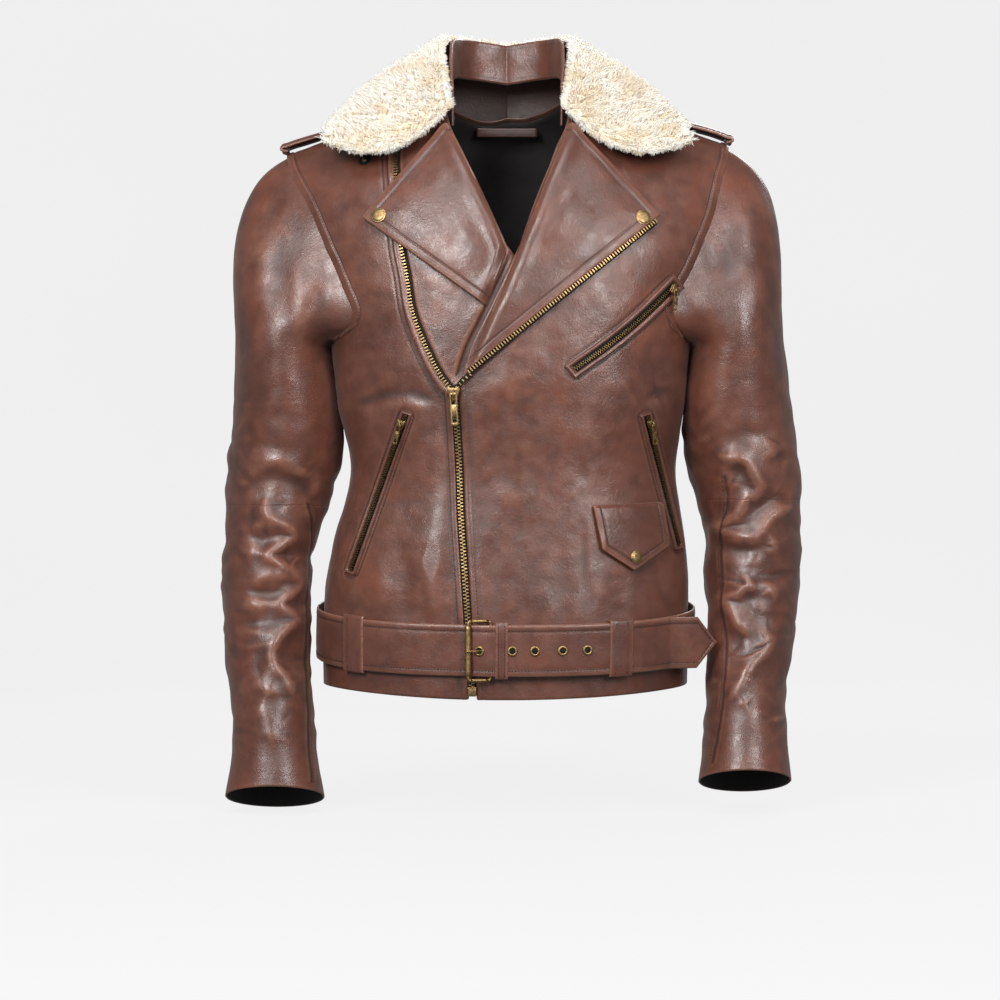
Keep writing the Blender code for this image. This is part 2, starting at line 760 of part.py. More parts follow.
def make_belt():
    strap = sheet("belt_tail", tail, 42, 1, BELT_THICK, "leather")
    for number, x in enumerate(EYELET_X, 1):
        phi = phi_at(x, BELT_FRONT)
        top = tail_lift(x) + BELT_THICK
        spot = belt(phi, 0, top + 0.5)
        ahead, behind = [phi_at(x + step, BELT_FRONT) for step in (3, -3)]
        run = (belt(ahead, 0, tail_lift(x + 3)) - belt(behind, 0, tail_lift(x - 3))).normalized()
        normal = Vector((0, 0, 1)).cross(run) * -1
        flange, bore = 5.0, 2.7
        profile = [(bore, 0.9), (flange - 0.6, 0.9), (flange, 0.3), (flange, 0), (EYELET_BARREL, 0),
                   (EYELET_BARREL, -2.8), (bore, -2.8)]
        put(turned(f"eyelet_{number}", profile, "brass", 10), spot, normal)
        drill = bmesh.new()
        bmesh.ops.create_cone(drill, cap_ends=True, segments=10, radius1=(EYELET_BARREL + 0.35) * MM,
                              radius2=(EYELET_BARREL + 0.35) * MM, depth=9 * MM)
        mesh = bpy.data.meshes.new(f"drill_{number}")
        drill.to_mesh(mesh)
        drill.free()
        cutter = bpy.data.objects.new(f"drill_{number}", mesh)
        cutter.hide_render = True
        cutter.display_type = "WIRE"
        cutter.parent = origin
        cutters.objects.link(cutter)
        put(cutter, spot, normal)
        cut = strap.modifiers.new(f"hole_{number}", "BOOLEAN")
        cut.object = cutter
        cut.operation = "DIFFERENCE"

    def strap_under(u, v):
        """From the heel bar round the wearer's left side and the back to the right side."""
        phi = lerp(phi_at(HEEL_BAR_X + 3, BELT_FRONT), math.radians(268), u)
        return belt(phi, (v - 0.5) * BELT_WIDTH, BELT_LIFT + BELT_THICK)

    sheet("belt_strap", strap_under, 34, 1, BELT_THICK, "leather")
    half = BELT_WIDTH / 2
    for name, x, width, outer in (("belt_keeper", -5.4, 11, 13.4), ("belt_loop_left", 106, 20, 13.4),
                                  ("belt_loop_right", -146, 18, 7.6)):
        phi = phi_at(x, BELT_FRONT)

        def loop(u, v):
            """A flat tube round the belt, across its width by v."""
            turn = v * math.tau
            across = abs(math.cos(turn)) ** 0.3 * math.copysign(1, math.cos(turn))
            out = abs(math.sin(turn)) ** 0.3 * math.copysign(1, math.sin(turn))
            there = phi_at(x + (u - 0.5) * width, BELT_FRONT)
            middle, deep = (outer + 2.7) / 2, (outer - 2.7) / 2
            return belt(there, across * (half + 3.2), middle + out * deep)

        sheet(name, loop, 1, 16, 1.6, "leather", wrap=True)


def make_buckle():
    """A frame on its heel bar, a roller on its front bar, and a tongue over the roller."""
    heel_phi, roller_phi = phi_at(HEEL_BAR_X, BELT_FRONT), phi_at(ROLLER_X, BELT_FRONT)
    heel, high = belt(heel_phi, 0, 5.8), 28.5
    roller = belt(roller_phi, 0, 12.4)
    up = Vector((0, 0, high))
    frame = rod("buckle_frame", [Vector((0, 0, high)), Vector((0, 0, -high)), roller - heel - up,
                                 roller - heel + up], 1.6, "brass", closed=True)
    frame.location = heel * MM
    tube = [(3.1, 24), (3.1, -24), (2.1, -24), (2.1, 24)]
    barrel = turned("buckle_roller", tube, "brass", 14)
    barrel.location = roller * MM
    out = (roller - heel).cross(Vector((0, 0, 1))).normalized()
    out = out if out.y < 0 else -out
    left = (roller - heel).normalized()
    tongue = rod("buckle_tongue", [left * 3.2 - out * 0.6, left * 9 - out * 0.8, left * 13 + out * 3.6,
                                   left * 17 + out * 5.2, left * 25 + out * 4.8], 1.1, "brass")
    tongue.location = heel * MM


def make_trims():
    stud = [(0, 2.6), (2.6, 2.6), (2.8, 1.2), (5.2, 1.2), (5.2, 0), (0, 0)]
    put(turned("collar_stud", stud, "brass", 12), front(-140, 640, 0.6), front_normal(-140, 640))
    loop = block("hanger_loop", (60, 8, 2), "edge_leather", 0.0)
    loop.location = Vector((0, RIDGE_Y + 55, 680)) * MM
    loop.rotation_euler = (math.pi / 2, 0, 0)


def settle():
    """Puts the origin at the middle of the bottom of the whole jacket's box."""
    graph = bpy.context.evaluated_depsgraph_get()
    graph.update()
    spots = []
    for part in jacket.objects:
        shown = part.evaluated_get(graph)
        mesh = shown.to_mesh()
        spots += [shown.matrix_world @ vert.co for vert in mesh.vertices]
        shown.to_mesh_clear()
    low = [min(spot[i] for spot in spots) for i in range(3)]
    high = [max(spot[i] for spot in spots) for i in range(3)]
    origin.location = (-(low[0] + high[0]) / 2, -(low[1] + high[1]) / 2, -low[2])


clear_scene()
finishes = make_finishes()
jacket = collection("leather_riding_jacket")
cutters = collection("cutters")
origin = bpy.data.objects.new("jacket_origin", None)
bpy.context.scene.collection.objects.link(origin)
make_torso()
make_lapels()
make_sleeves()
make_epaulettes()
make_collar()
make_main_zip()
make_pockets()
make_coin_pocket()
make_belt()
make_buckle()
make_trims()
settle()
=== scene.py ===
"""Leather riding jacket: every visible surface, built over the jointed frame.

Lengths are millimetres in the garment's own frame: X to the wearer's left, Y to the
wearer's back, Z up from the lowest cuff.  They become world metres in world().
"""

import json
import math
from itertools import product

import bmesh
import bpy
import numpy as np
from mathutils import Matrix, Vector

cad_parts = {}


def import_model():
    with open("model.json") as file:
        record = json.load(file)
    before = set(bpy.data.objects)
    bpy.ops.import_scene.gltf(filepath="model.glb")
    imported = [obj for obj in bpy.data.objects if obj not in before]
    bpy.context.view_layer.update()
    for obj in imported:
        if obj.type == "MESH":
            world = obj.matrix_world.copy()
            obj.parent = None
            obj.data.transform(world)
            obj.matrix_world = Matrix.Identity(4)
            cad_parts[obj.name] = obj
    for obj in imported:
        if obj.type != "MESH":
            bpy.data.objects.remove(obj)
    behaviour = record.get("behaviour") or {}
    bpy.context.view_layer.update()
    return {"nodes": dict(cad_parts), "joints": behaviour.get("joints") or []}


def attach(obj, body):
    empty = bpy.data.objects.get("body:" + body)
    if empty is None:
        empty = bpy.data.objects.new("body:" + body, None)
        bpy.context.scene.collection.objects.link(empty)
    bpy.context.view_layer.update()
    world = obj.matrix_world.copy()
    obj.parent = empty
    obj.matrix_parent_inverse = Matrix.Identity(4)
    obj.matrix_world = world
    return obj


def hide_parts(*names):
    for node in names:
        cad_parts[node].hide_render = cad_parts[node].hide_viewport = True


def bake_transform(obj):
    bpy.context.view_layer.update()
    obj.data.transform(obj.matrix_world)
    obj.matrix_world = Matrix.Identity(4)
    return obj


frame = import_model()
JOINTS = {joint["name"]: joint for joint in frame["joints"]}
SHOULDER = (221, 10, 662)
SHIFT = np.array(JOINTS["shoulder_left"]["pos_m"]) * 1000 - np.array(SHOULDER)

# Torso
ROUNDNESS = 2.4
FRONT_SHOULDER_DEPTH = 150
BACK_SHOULDER_DEPTH = 110
SHOULDER_HALF_WIDTH = 221
SHOULDER_SLOPE = 0.355
SHOULDER_HEIGHT = 656.5
SHOULDER_TILT = 4.5
NECK_HALF_WIDTH = 66
NECK_DEPTH = 72
RIDGE_Y = 10
ARMPIT = 462
HEM_FRONT = 113
HEM_RISE = 11
LEATHER = 1.6
LINING_DEPTH = 9.0
SEAM_GAP = 0.5
SIDE_SEAM = 1 - 3e-8
SECTIONS = [
    (100, -2, 181, 118, 112),
    (200, -1, 182, 122, 115),
    (262, 2, 176, 118, 106),
    (336, 6, 162, 114, 100),
    (400, 5, 172.5, 120, 108),
    (450, 4, 178.5, 123, 114),
    (500, 4, 190, 123, 118),
    (560, 4, 215, 118, 116),
    (620, 2, 238, 110, 108),
    (680, 0, 245, 104, 98),
    (740, 0, 245, 100, 92),
]
ARMHOLE_FRONT = [(462, 179), (470, 173), (480, 162), (492, 157), (515, 166), (535, 176),
                 (574, 193), (611, 207), (641, 218), (660, 221), (740, 221)]
ARMHOLE_BACK = [(462, 179), (470, 175), (484, 168), (505, 167), (535, 175), (574, 189),
                (611, 204), (641, 217), (660, 221), (740, 221)]
ARMHOLE_SHIFT = 6
ZIP_LOWER = [(116, -33.5), (190, -38), (248, -41.8), (293, -44.7), (347, -46.6), (412, -51)]
ZIP_RIGHT_UPPER = [(412, -54), (428, -66), (459, -81), (489, -92), (525, -98), (551, -103),
                   (621, -109), (646, -110)]
ROLL_LEFT = [(424, -44), (453, -35), (490, -16.7), (542, 7.5), (582, 24.9), (651, 48.4),
             (676, 59), (720, 66)]
ROLL_RIGHT = [(545, 2.5), (605, -24.4), (647, -44), (676, -57), (720, -66)]
ZIP_HALF_GAP = 4.5
OPEN_TOOTH = (1.7, 4.8, 2.3)
PULL_LIFT = 5.6
SLIDER_LIFT = 4.2
LAPEL_LEFT = [(61, 674), (146, 582.5), (-38, 432), (8, 540)]
LAPEL_RIGHT = [(-58, 674), (-138.7, 580.5), (-20, 494), (-1, 545)]
LAPEL_LIFT = 6.0
LAPEL_THICK = 2.4
SLEEVE_LEFT = [(455, 277, 181, -70, 72), (386, 286, 175, -64, 68), (345, 292, 179, -60, 66),
               (303, 295, 190, -57, 64), (268, 295, 198, -58, 60), (234, 293, 197, -62, 54),
               (194, 288, 200, -68, 44), (150, 283, 198, -75, 30), (109, 275, 197, -84, 16),
               (70, 277, 193, -94, 4), (30, 280, 188, -104, -6)]
SLEEVE_RIGHT = [(455, 272, 173.5, -70, 72), (386, 273, 164.5, -64, 68), (345, 278, 167, -60, 66),
                (299, 282, 180, -57, 64), (268, 282, 190, -58, 60), (238, 284, 195, -62, 54),
                (194, 283, 195, -68, 44), (150, 280, 195, -74, 32), (109, 275, 193, -82, 20),
                (60, 272, 188, -90, 8), (14, 278, 180, -98, -2)]
SLEEVE_CAP = 0.24
FOREARM_TILT = math.radians(17)
ARMHOLE_TUCK = -2.5
FOLD = [(0, 0, 84, 772), (0.3, 50, 62, 776), (0.5, 67, 18, 771), (0.7, 68, -22, 748),
        (0.85, 64, -48, 720), (1, 59, -64, 692)]
FALL = [(0, 0, 118, 692), (0.3, 84, 106, 698), (0.5, 126, 76, 704), (0.7, 148, 28, 714),
        (0.85, 174, -28, 688), (1, 180, -68, 664)]
BELLY = [(0, 0, 122, 752), (0.3, 76, 98, 752), (0.5, 104, 52, 758), (0.7, 118, -2, 750),
         (0.85, 128, -56, 712), (1, 116, -114, 624)]
FUR = 8
COLLAR_MIDDLE = np.array((0, 10, 690.0))
BELT_MIDDLE = np.array((0, 10, 175.0))
BELT_WIDTH = 48
BELT_STITCH = 5.0
BELT_THICK = 2.2
BELT_LIFT = 4.2
TAIL_OVER = 9.8
BELT_FRONT = 161
BELT_SIDE_RISE = 16
TAIL_LEAVES = 150.0
TAIL_END = 197
POINT_SHARE = 0.055
HEEL_BAR_X = -16
ROLLER_X = -37
EYELET_X = (-26.5, 4.8, 26, 52, 75)
POCKETS = {
    "chest": ((65.5, 433), (163, 516), 4.0, 7.5),
    "hand_left": ((168.5, 262), (135.5, 386), 0.0, 5.0),
    "hand_right": ((-152, 238), (-98.5, 387), 0.0, 5.0),
}
FLAP_TOP = ((83, 300), (149, 303))
FLAP_FOOT = ((91, 258), (121.5, 238), (155, 262))
FLAP_STITCH = 5.6
COIN_SNAP = (122.5, 250.0)
LAPEL_STITCH = 7.2
STITCH_LIFT = 0.12
YOKE = (585, 8)
BOX_HEIGHT = 121.0
HANGER = (30, 4, 680)

# Folds pressed into the leather: points (across, height), half width, height of the fold
RIGHT_SLEEVE_FOLDS = [
    ([(-241, 586), (-247, 540), (-253, 478)], 10, 1.7),
    ([(-206, 557), (-208, 503), (-198, 448)], 9, 1.6),
    ([(-223, 576), (-227, 512), (-223, 453)], 10, -1.3),
    ([(-186, 517), (-171, 473), (-174, 424)], 9, -1.5),
    ([(-241, 444), (-228, 404), (-235, 355)], 11, 1.3),
    ([(-271, 313), (-248, 332), (-226, 339), (-203, 333), (-183, 329)], 5.5, 2.5),
    ([(-238, 313), (-235, 291), (-217, 279), (-214, 267), (-235, 252), (-217, 239),
      (-207, 226), (-209, 217), (-222, 205), (-212, 191), (-213, 184), (-228, 166), (-230, 149),
      (-217, 131), (-211, 116), (-212, 109)], 3.6, 3.2),
    ([(-265, 277), (-240, 281), (-219, 279)], 4.5, 1.6),
    ([(-268, 258), (-251, 255), (-235, 252)], 4.5, 1.6),
    ([(-254, 226), (-229, 231), (-207, 225)], 4.5, 2.0),
    ([(-271, 201), (-245, 204), (-222, 205)], 4.5, 1.6),
    ([(-265, 179), (-237, 177), (-213, 184)], 4.5, 1.6),
    ([(-255, 125), (-237, 122), (-212, 111)], 5, 2.0),
    ([(-257, 111), (-241, 100), (-231, 80), (-227, 57)], 5, 1.5),
    ([(-271, 305), (-254, 322), (-231, 329), (-209, 325), (-192, 308), (-189, 300)], 6, -3.0),
    ([(-269, 291), (-251, 286), (-234, 289)], 5, -2.0),
    ([(-260, 272), (-237, 266), (-217, 270)], 5, -3.2),
    ([(-233, 252), (-209, 252), (-205, 246)], 5, -2.0),
    ([(-262, 217), (-237, 214), (-209, 217)], 5, -2.8),
    ([(-271, 186), (-245, 184), (-214, 183)], 5, -2.0),
    ([(-209, 204), (-198, 210)], 5, -1.2),
    ([(-251, 164), (-240, 153), (-234, 142)], 6, -2.0),
    ([(-209, 170), (-205, 153), (-203, 128)], 5, -1.6),
    ([(-254, 133), (-231, 139)], 5, -1.5),
    ([(-220, 97), (-212, 91)], 4, -1.5),
]
LEFT_SLEEVE_FOLDS = [
    ([(235, 640), (238, 596), (231, 547)], 9, 1.6),
    ([(220, 616), (218, 562), (211, 507)], 9, -1.5),
    ([(251, 566), (247, 512), (253, 463)], 10, 1.2),
    ([(190, 473), (201, 424), (197, 365)], 10, 1.4),
    ([(234, 473), (227, 424), (237, 375)], 11, -1.2),
    ([(203, 354), (216, 348), (232, 345), (242, 332), (248, 319), (244, 310), (236, 307),
      (227, 292), (212, 279), (227, 272), (245, 271), (261, 290), (286, 302)], 3.8, 3.2),
    ([(250, 276), (261, 266), (262, 258), (250, 253)], 4, 2.0),
    ([(211, 266), (235, 265), (256, 266)], 4, 1.5),
    ([(229, 236), (238, 223), (229, 215), (217, 208), (223, 192), (237, 169)], 3.8, 3.0),
    ([(241, 226), (256, 223), (262, 213), (261, 200)], 4, 2.5),
    ([(237, 163), (250, 165), (257, 169), (253, 158), (237, 142), (227, 124), (212, 103)], 4, 2.6),
    ([(227, 119), (232, 104), (240, 103)], 4, 1.5),
    ([(246, 345), (269, 357), (271, 366)], 5, 2.0),
    ([(264, 104), (266, 87), (272, 83)], 4, 1.5),
    ([(203, 370), (229, 370), (264, 373)], 7, -1.8),
    ([(213, 340), (229, 333), (241, 319)], 5, -2.2),
    ([(253, 342), (269, 348), (285, 345)], 5, -2.0),
    ([(229, 282), (250, 300), (269, 308), (285, 312)], 6, -3.0),
    ([(213, 258), (237, 258), (256, 261)], 4.5, -2.2),
    ([(229, 230), (256, 230), (285, 236)], 5.5, -3.0),
    ([(221, 201), (237, 209), (256, 213)], 5, -2.2),
    ([(250, 179), (266, 183)], 5, -1.6),
    ([(211, 174), (229, 161), (240, 158)], 6, -2.2),
]
FRONT_FOLDS = [
    ([(-157, 548), (-152, 509), (-137, 470)], 10, 2.0),
    ([(-89, 470), (-79, 441), (-65, 422)], 8, 1.5),
    ([(-176, 572), (-171, 538)], 8, 1.5),
    ([(-150, 398), (-118, 408), (-96, 407), (-68, 402)], 5, -2.4),
    ([(-131, 391), (-104, 399), (-70, 395)], 7, 1.6),
    ([(-137, 417), (-104, 420)], 9, 1.2),
    ([(131, 403), (148, 411), (165, 415)], 5.5, -3.0),
    ([(90, 398), (114, 417), (143, 428)], 12, 2.2),
    ([(142, 518), (111, 487), (73, 457)], 10, 1.6),
    ([(-33, 403), (-7, 417), (32, 432)], 9, 1.6),
    ([(-29, 336), (6, 308), (37, 283)], 12, 1.6),
    ([(54, 319), (73, 306)], 7, 1.3),
    ([(59, 327), (90, 336)], 10, -2.0),
    ([(-60, 392), (-61, 330), (-68, 262), (-74, 206)], 11, 3.2),
    ([(-104, 335), (-96, 267)], 14, -1.5),
    ([(-157, 301), (-150, 248)], 9, -1.5),
    ([(-17, 383), (51, 393), (109, 374)], 12, -1.5),
]
LAPEL_FOLDS = [
    ([(-50, 580), (-36, 556), (-12, 532)], 10, 1.4),
    ([(65, 614), (51, 576), (32, 547)], 10, 1.5),
    ([(-74, 605), (-55, 624)], 9, 1.0),
    ([(89, 605), (80, 571)], 9, -1.0),
]


# Numbers --------------------------------------------------------------------------------


def lerp(start, end, share):
    return start + (end - start) * share


def ease(share):
    share = np.clip(share, 0.0, 1.0)
    return share * share * (3 - 2 * share)


def unit(vectors):
    return vectors / np.maximum(np.linalg.norm(vectors, axis=-1, keepdims=True), 1e-9)


def dot(first, second):
    return (first * second).sum(-1, keepdims=True)


def stack(x, y, z):
    return np.stack(np.broadcast_arrays(x, y, z), -1).astype(float)


def along(table, at, column=1):
    """A smooth curve through one column of a table whose first column rises."""
    rows = np.array(table, float)
    xs, ys = rows[:, 0], rows[:, column]
    number = np.arange(len(xs))
    before, after = np.maximum(number - 1, 0), np.minimum(number + 1, len(xs) - 1)
    slopes = (ys[after] - ys[before]) / (xs[after] - xs[before])
    at = np.clip(at, xs[0], xs[-1])
    i = np.clip(np.searchsorted(xs, at, side="left") - 1, 0, len(xs) - 2)
    span = xs[i + 1] - xs[i]
    share = (at - xs[i]) / span
    square, cube = share ** 2, share ** 3
    return (ys[i] * (2 * cube - 3 * square + 1) + slopes[i] * span * (cube - 2 * square + share)
            + ys[i + 1] * (3 * square - 2 * cube) + slopes[i + 1] * span * (cube - square))


def point_along(table, at):
    return stack(along(table, at, 1), along(table, at, 2), along(table, at, 3))


def flat_spot(x, z):
    return np.stack([x, x * 0, z], -1)


def noise(points, size, seed=0):
    """Smooth noise, about -1 to 1, whose bumps are size across."""
    place = np.asarray(points, float) / size + seed * 17.31
    cell = np.floor(place).astype(np.int64)
    inside = place - cell
    fade = inside ** 3 * (inside * (inside * 6 - 15) + 10)
    total = np.zeros(place.shape[:-1])
    for corner in product((0, 1), repeat=3):
        key = cell + np.array(corner)
        mixed = (key[..., 0] * 73856093) ^ (key[..., 1] * 19349663) ^ (key[..., 2] * 83492791)
        mixed = (mixed * 1103515245 + 12345) & 0x7FFFFFFF
        mixed = ((mixed ^ (mixed >> 13)) * 1274126177) & 0x7FFFFFFF
        slope = np.stack([((mixed >> shift) & 1023) / 511.5 - 1 for shift in (1, 11, 21)], -1)
        away = inside - np.array(corner)
        weight = np.prod(np.where(np.array(corner) == 1, fade, 1 - fade), -1)
        total += (slope * away).sum(-1) * weight
    return total * 1.4


def smooth_line(points, steps=6):
    """A polyline rounded through its points."""
    spots = np.array(points, float)
    padded = np.vstack([2 * spots[0] - spots[1], spots, 2 * spots[-1] - spots[-2]])
    made = []
    for i in range(1, len(padded) - 2):
        p0, p1, p2, p3 = padded[i - 1:i + 3]
        for t in np.arange(steps) / steps:
            made.append(0.5 * (2 * p1 + (p2 - p0) * t + (2 * p0 - 5 * p1 + 4 * p2 - p3) * t * t
                               + (3 * p1 - p0 - 3 * p2 + p3) * t ** 3))
    return np.array(made + [spots[-1]])


def distance_to(line, x, z):
    """Distance from (x, z) to a polyline and how far along it, from 0 to 1."""
    line = np.asarray(line, float)
    runs = np.linalg.norm(np.diff(line, axis=0), axis=1)
    starts = np.concatenate([[0], np.cumsum(runs)])
    best = np.full(np.shape(x), 1e9)
    share = np.zeros(np.shape(x))
    for i, run in enumerate(runs):
        step = (line[i + 1] - line[i]) / max(run, 1e-9)
        t = np.clip((x - line[i, 0]) * step[0] + (z - line[i, 1]) * step[1], 0, run)
        gap = np.hypot(x - line[i, 0] - step[0] * t, z - line[i, 1] - step[1] * t)
        nearer = gap < best
        best = np.where(nearer, gap, best)
        share = np.where(nearer, (starts[i] + t) / starts[-1], share)
    return best, share


def folds(table, x, z):
    """Height of all the folds of a table at (x, z)."""
    height = np.zeros(np.shape(x))
    for points, width, rise in table:
        line = smooth_line(points)
        low, high = line.min(0) - 4 * width, line.max(0) + 4 * width
        near = (x > low[0]) & (x < high[0]) & (z > low[1]) & (z < high[1])
        gap, share = distance_to(line, x[near], z[near])
        long = np.linalg.norm(np.diff(line, axis=0), axis=1).sum()
        ends = np.minimum(share, 1 - share) * long
        taper = ease(ends / (2.6 * width))
        local = width * (0.5 + 0.5 * ease(ends / (3.5 * width)))
        crest = np.sqrt(gap ** 2 + (0.35 * local) ** 2) - 0.35 * local
        height[near] += rise * taper * np.exp(-(crest / local) ** 1.25)
    return height


# Surfaces -------------------------------------------------------------------------------


def ridge(x):
    tip = SHOULDER_HEIGHT + SHOULDER_TILT * np.tanh(x / 40)
    return tip + SHOULDER_SLOPE * (SHOULDER_HALF_WIDTH - np.abs(x))


def shoulder_round(x, z, depth):
    share = np.clip((ridge(x) - z) / depth, 0, 1)
    return np.sqrt(np.maximum(1 - (1 - share) ** 2, 1e-6))


def middle_y(z):
    return RIDGE_Y * ease((z - 380) / 240)


def signed_power(value, power):
    return np.copysign(np.abs(value) ** power, value)


def body_at(phi, z):
    power = 2 / ROUNDNESS
    cosine = np.cos(phi)
    x = along(SECTIONS, z, 1) + along(SECTIONS, z, 2) * signed_power(np.sin(phi), power)
    ahead = cosine > 0
    depth = np.where(ahead, along(SECTIONS, z, 3), along(SECTIONS, z, 4))
    rounding = shoulder_round(x, z, np.where(ahead, FRONT_SHOULDER_DEPTH, BACK_SHOULDER_DEPTH))
    return stack(x, middle_y(z) - depth * rounding * signed_power(cosine, power), z)


def body_normal(phi, z):
    turn = body_at(phi + 0.01, z) - body_at(phi - 0.01, z)
    rise = body_at(phi, z + 1) - body_at(phi, z - 1)
    return unit(np.cross(turn, rise))


def body(phi, z, lift=0.0):
    return body_at(phi, z) + body_normal(phi, z) * np.asarray(lift, float)[..., None]


def phi_at(x, z, back=False):
    share = np.clip((x - along(SECTIONS, z, 1)) / along(SECTIONS, z, 2), -1, 1)
    phi = np.arcsin(signed_power(share, ROUNDNESS / 2))
    return np.where(back, math.pi - phi, phi)


def front(x, z, lift=0.0):
    return body(phi_at(x, z), z, lift)


def front_normal(x, z):
    return body_normal(phi_at(x, z), z)


def hem(x):
    return HEM_FRONT + HEM_RISE * (x / 185) ** 2


def neckline(x):
    reach = NECK_DEPTH * np.sqrt(np.maximum(1 - (x / NECK_HALF_WIDTH) ** 2, 0))
    share = np.clip(reach / along(SECTIONS, 690, 4), 0, 0.999)
    return ridge(x) - BACK_SHOULDER_DEPTH * (1 - np.sqrt(1 - share * share))


def calm(edge, z, back):
    """An edge's angle with its sharp turns evened out, and what that takes off."""
    exact = phi_at(edge(z), z, back)
    even = sum(phi_at(edge(z + step), z, back) for step in range(-45, 46, 15)) / 7
    return even, exact - even


def panel(first, second, back, u, v):
    """phi and z of a torso panel between two edges, from the hem to the top seam."""
    z = lerp(HEM_FRONT, SHOULDER_HEIGHT, v)
    for _ in range(12):
        (start, start_rest), (end, end_rest) = calm(first, z, back), calm(second, z, back)
        phi = lerp(start, end, u) + start_rest * (1 - u) ** 4 + end_rest * u ** 4
        x = body_at(phi, z)[..., 0]
        top = neckline(x) if back else ridge(x)
        z = lerp(z, lerp(hem(x), top - SEAM_GAP, v), 0.7)
    return phi, z


def side_edge(side, table, gap=0.2):
    def edge(z):
        low = along(SECTIONS, z, 1) + side * along(SECTIONS, z, 2) * SIDE_SEAM
        shift = ARMHOLE_SHIFT * ease((z - ARMPIT) / 30) * ease((640 - z) / 60)
        below = along(SECTIONS, ARMPIT, 1) * ease((500 - z) / 38)
        return np.where(z <= ARMPIT, low, side * (along(table, z) - gap) + shift + below)

    return edge


def left_front_edge(z):
    beside_zip = along(ZIP_LOWER, z) + ZIP_HALF_GAP
    return lerp(beside_zip, along(ROLL_LEFT, z), ease((z - 405) / 20))


def right_front_edge(z):
    beside_zip = along(ZIP_LOWER, z) - ZIP_HALF_GAP
    under = along(ROLL_LEFT, z) + 4.0
    upper = lerp(under, along(ROLL_RIGHT, z), ease((z - 530) / 24))
    return lerp(beside_zip, upper, ease((z - 405) / 20))


def armhole(side, theta):
    ahead = np.sin(theta) >= 0
    tip = ridge(side * SHOULDER_HALF_WIDTH) - 2
    z = lerp(ARMPIT, tip, (1 + np.cos(theta)) / 2)
    x = np.where(ahead, side_edge(side, ARMHOLE_FRONT, 0.5)(z), side_edge(side, ARMHOLE_BACK, 0.5)(z))
    point = body_at(np.where(ahead, phi_at(x, z), phi_at(x, z, True)), z)
    middle = stack(point[..., 0], middle_y(z), z)
    return lerp(middle, point, ease(np.abs(np.sin(theta)) * 4)[..., None])


def sleeve_section(side, theta, share):
    table = np.array(SLEEVE_LEFT if side > 0 else SLEEVE_RIGHT, float)
    table[:, 0] *= -1
    z = lerp(-table[0, 0], -table[-1, 0], share)
    outer, inner, ahead, behind = [along(table, -z, column) for column in (1, 2, 3, 4)]
    tilt = FOREARM_TILT * ease((share - 0.3) / 0.3)
    across = (outer - inner) / 2 * np.cos(theta)
    deep = (behind - ahead) / 2 * -np.sin(theta)
    return stack(side * ((outer + inner) / 2 + across),
                 (ahead + behind) / 2 + deep * np.cos(tilt), z - deep * np.sin(tilt))


def sleeve(side, theta, share):
    """A sleeve from the armhole, share 0, to the cuff, share 1."""
    theta, share = np.broadcast_arrays(theta, share)
    low = sleeve_section(side, theta, np.maximum((share - SLEEVE_CAP) / (1 - SLEEVE_CAP), 0))
    start = armhole(side, theta) + np.array((side * ARMHOLE_TUCK, 0, 0))
    end = sleeve_section(side, theta, np.zeros_like(share))
    reach = np.linalg.norm(end - start, axis=-1, keepdims=True) * 1.15
    up = np.maximum(np.cos(theta), 0)
    leave = unit(stack(side * (0.35 + 0.65 * up), -0.15 * np.sin(theta), -1 + 0.55 * up)) * reach
    arrive = (sleeve_section(side, theta, np.full_like(share, 0.02)) - end) * (reach / 10)
    t = (np.minimum(share, SLEEVE_CAP) / SLEEVE_CAP)[..., None]
    high = (start * (2 * t ** 3 - 3 * t ** 2 + 1) + leave * (t ** 3 - 2 * t ** 2 + t)
            + end * (3 * t ** 2 - 2 * t ** 3) + arrive * (t ** 3 - t ** 2))
    return np.where((share >= SLEEVE_CAP)[..., None], low, high)


def collar_point(side, s, r):
    fold, belly, edge = point_along(FOLD, s), point_along(BELLY, s), point_along(FALL, s)
    r = np.asarray(r, float)[..., None]
    point = fold * (1 - r) ** 2 + belly * 2 * r * (1 - r) + edge * r * r
    return point * np.array((side, 1, 1))


def belt_height(phi):
    return BELT_FRONT + BELT_SIDE_RISE * (1 - np.maximum(np.cos(phi), -0.4)) / 1.1


def belt(phi, up, lift):
    return body(phi, belt_height(phi) + up, lift)


def tail_lift(x):
    return lerp(BELT_LIFT, TAIL_OVER, ease((x - ROLLER_X + 9) / 30))


def tail(u, v):
    """The long end, from the wearer's right to its free point."""
    start, leave = math.radians(-89), phi_at(TAIL_LEAVES, BELT_FRONT)
    reach = lerp(0, 1.16, u)
    phi = lerp(start, leave, np.minimum(reach, 1))
    point_share = np.clip((1 - u) / POINT_SHARE, 0.04, 1)
    up = (v - 0.5) * BELT_WIDTH * point_share
    at = body_at(phi, belt_height(phi))[..., 0]
    spot = belt(phi, up, tail_lift(at) + BELT_THICK)
    free = np.maximum(reach - 1, 0)[..., None] / 0.16 * (TAIL_END - TAIL_LEAVES) / 0.9
    return spot + np.array((0.9, 0.43, 0)) * free


# Building meshes ------------------------------------------------------------------------


def world(points):
    return (np.asarray(points, float) + SHIFT) * 0.001


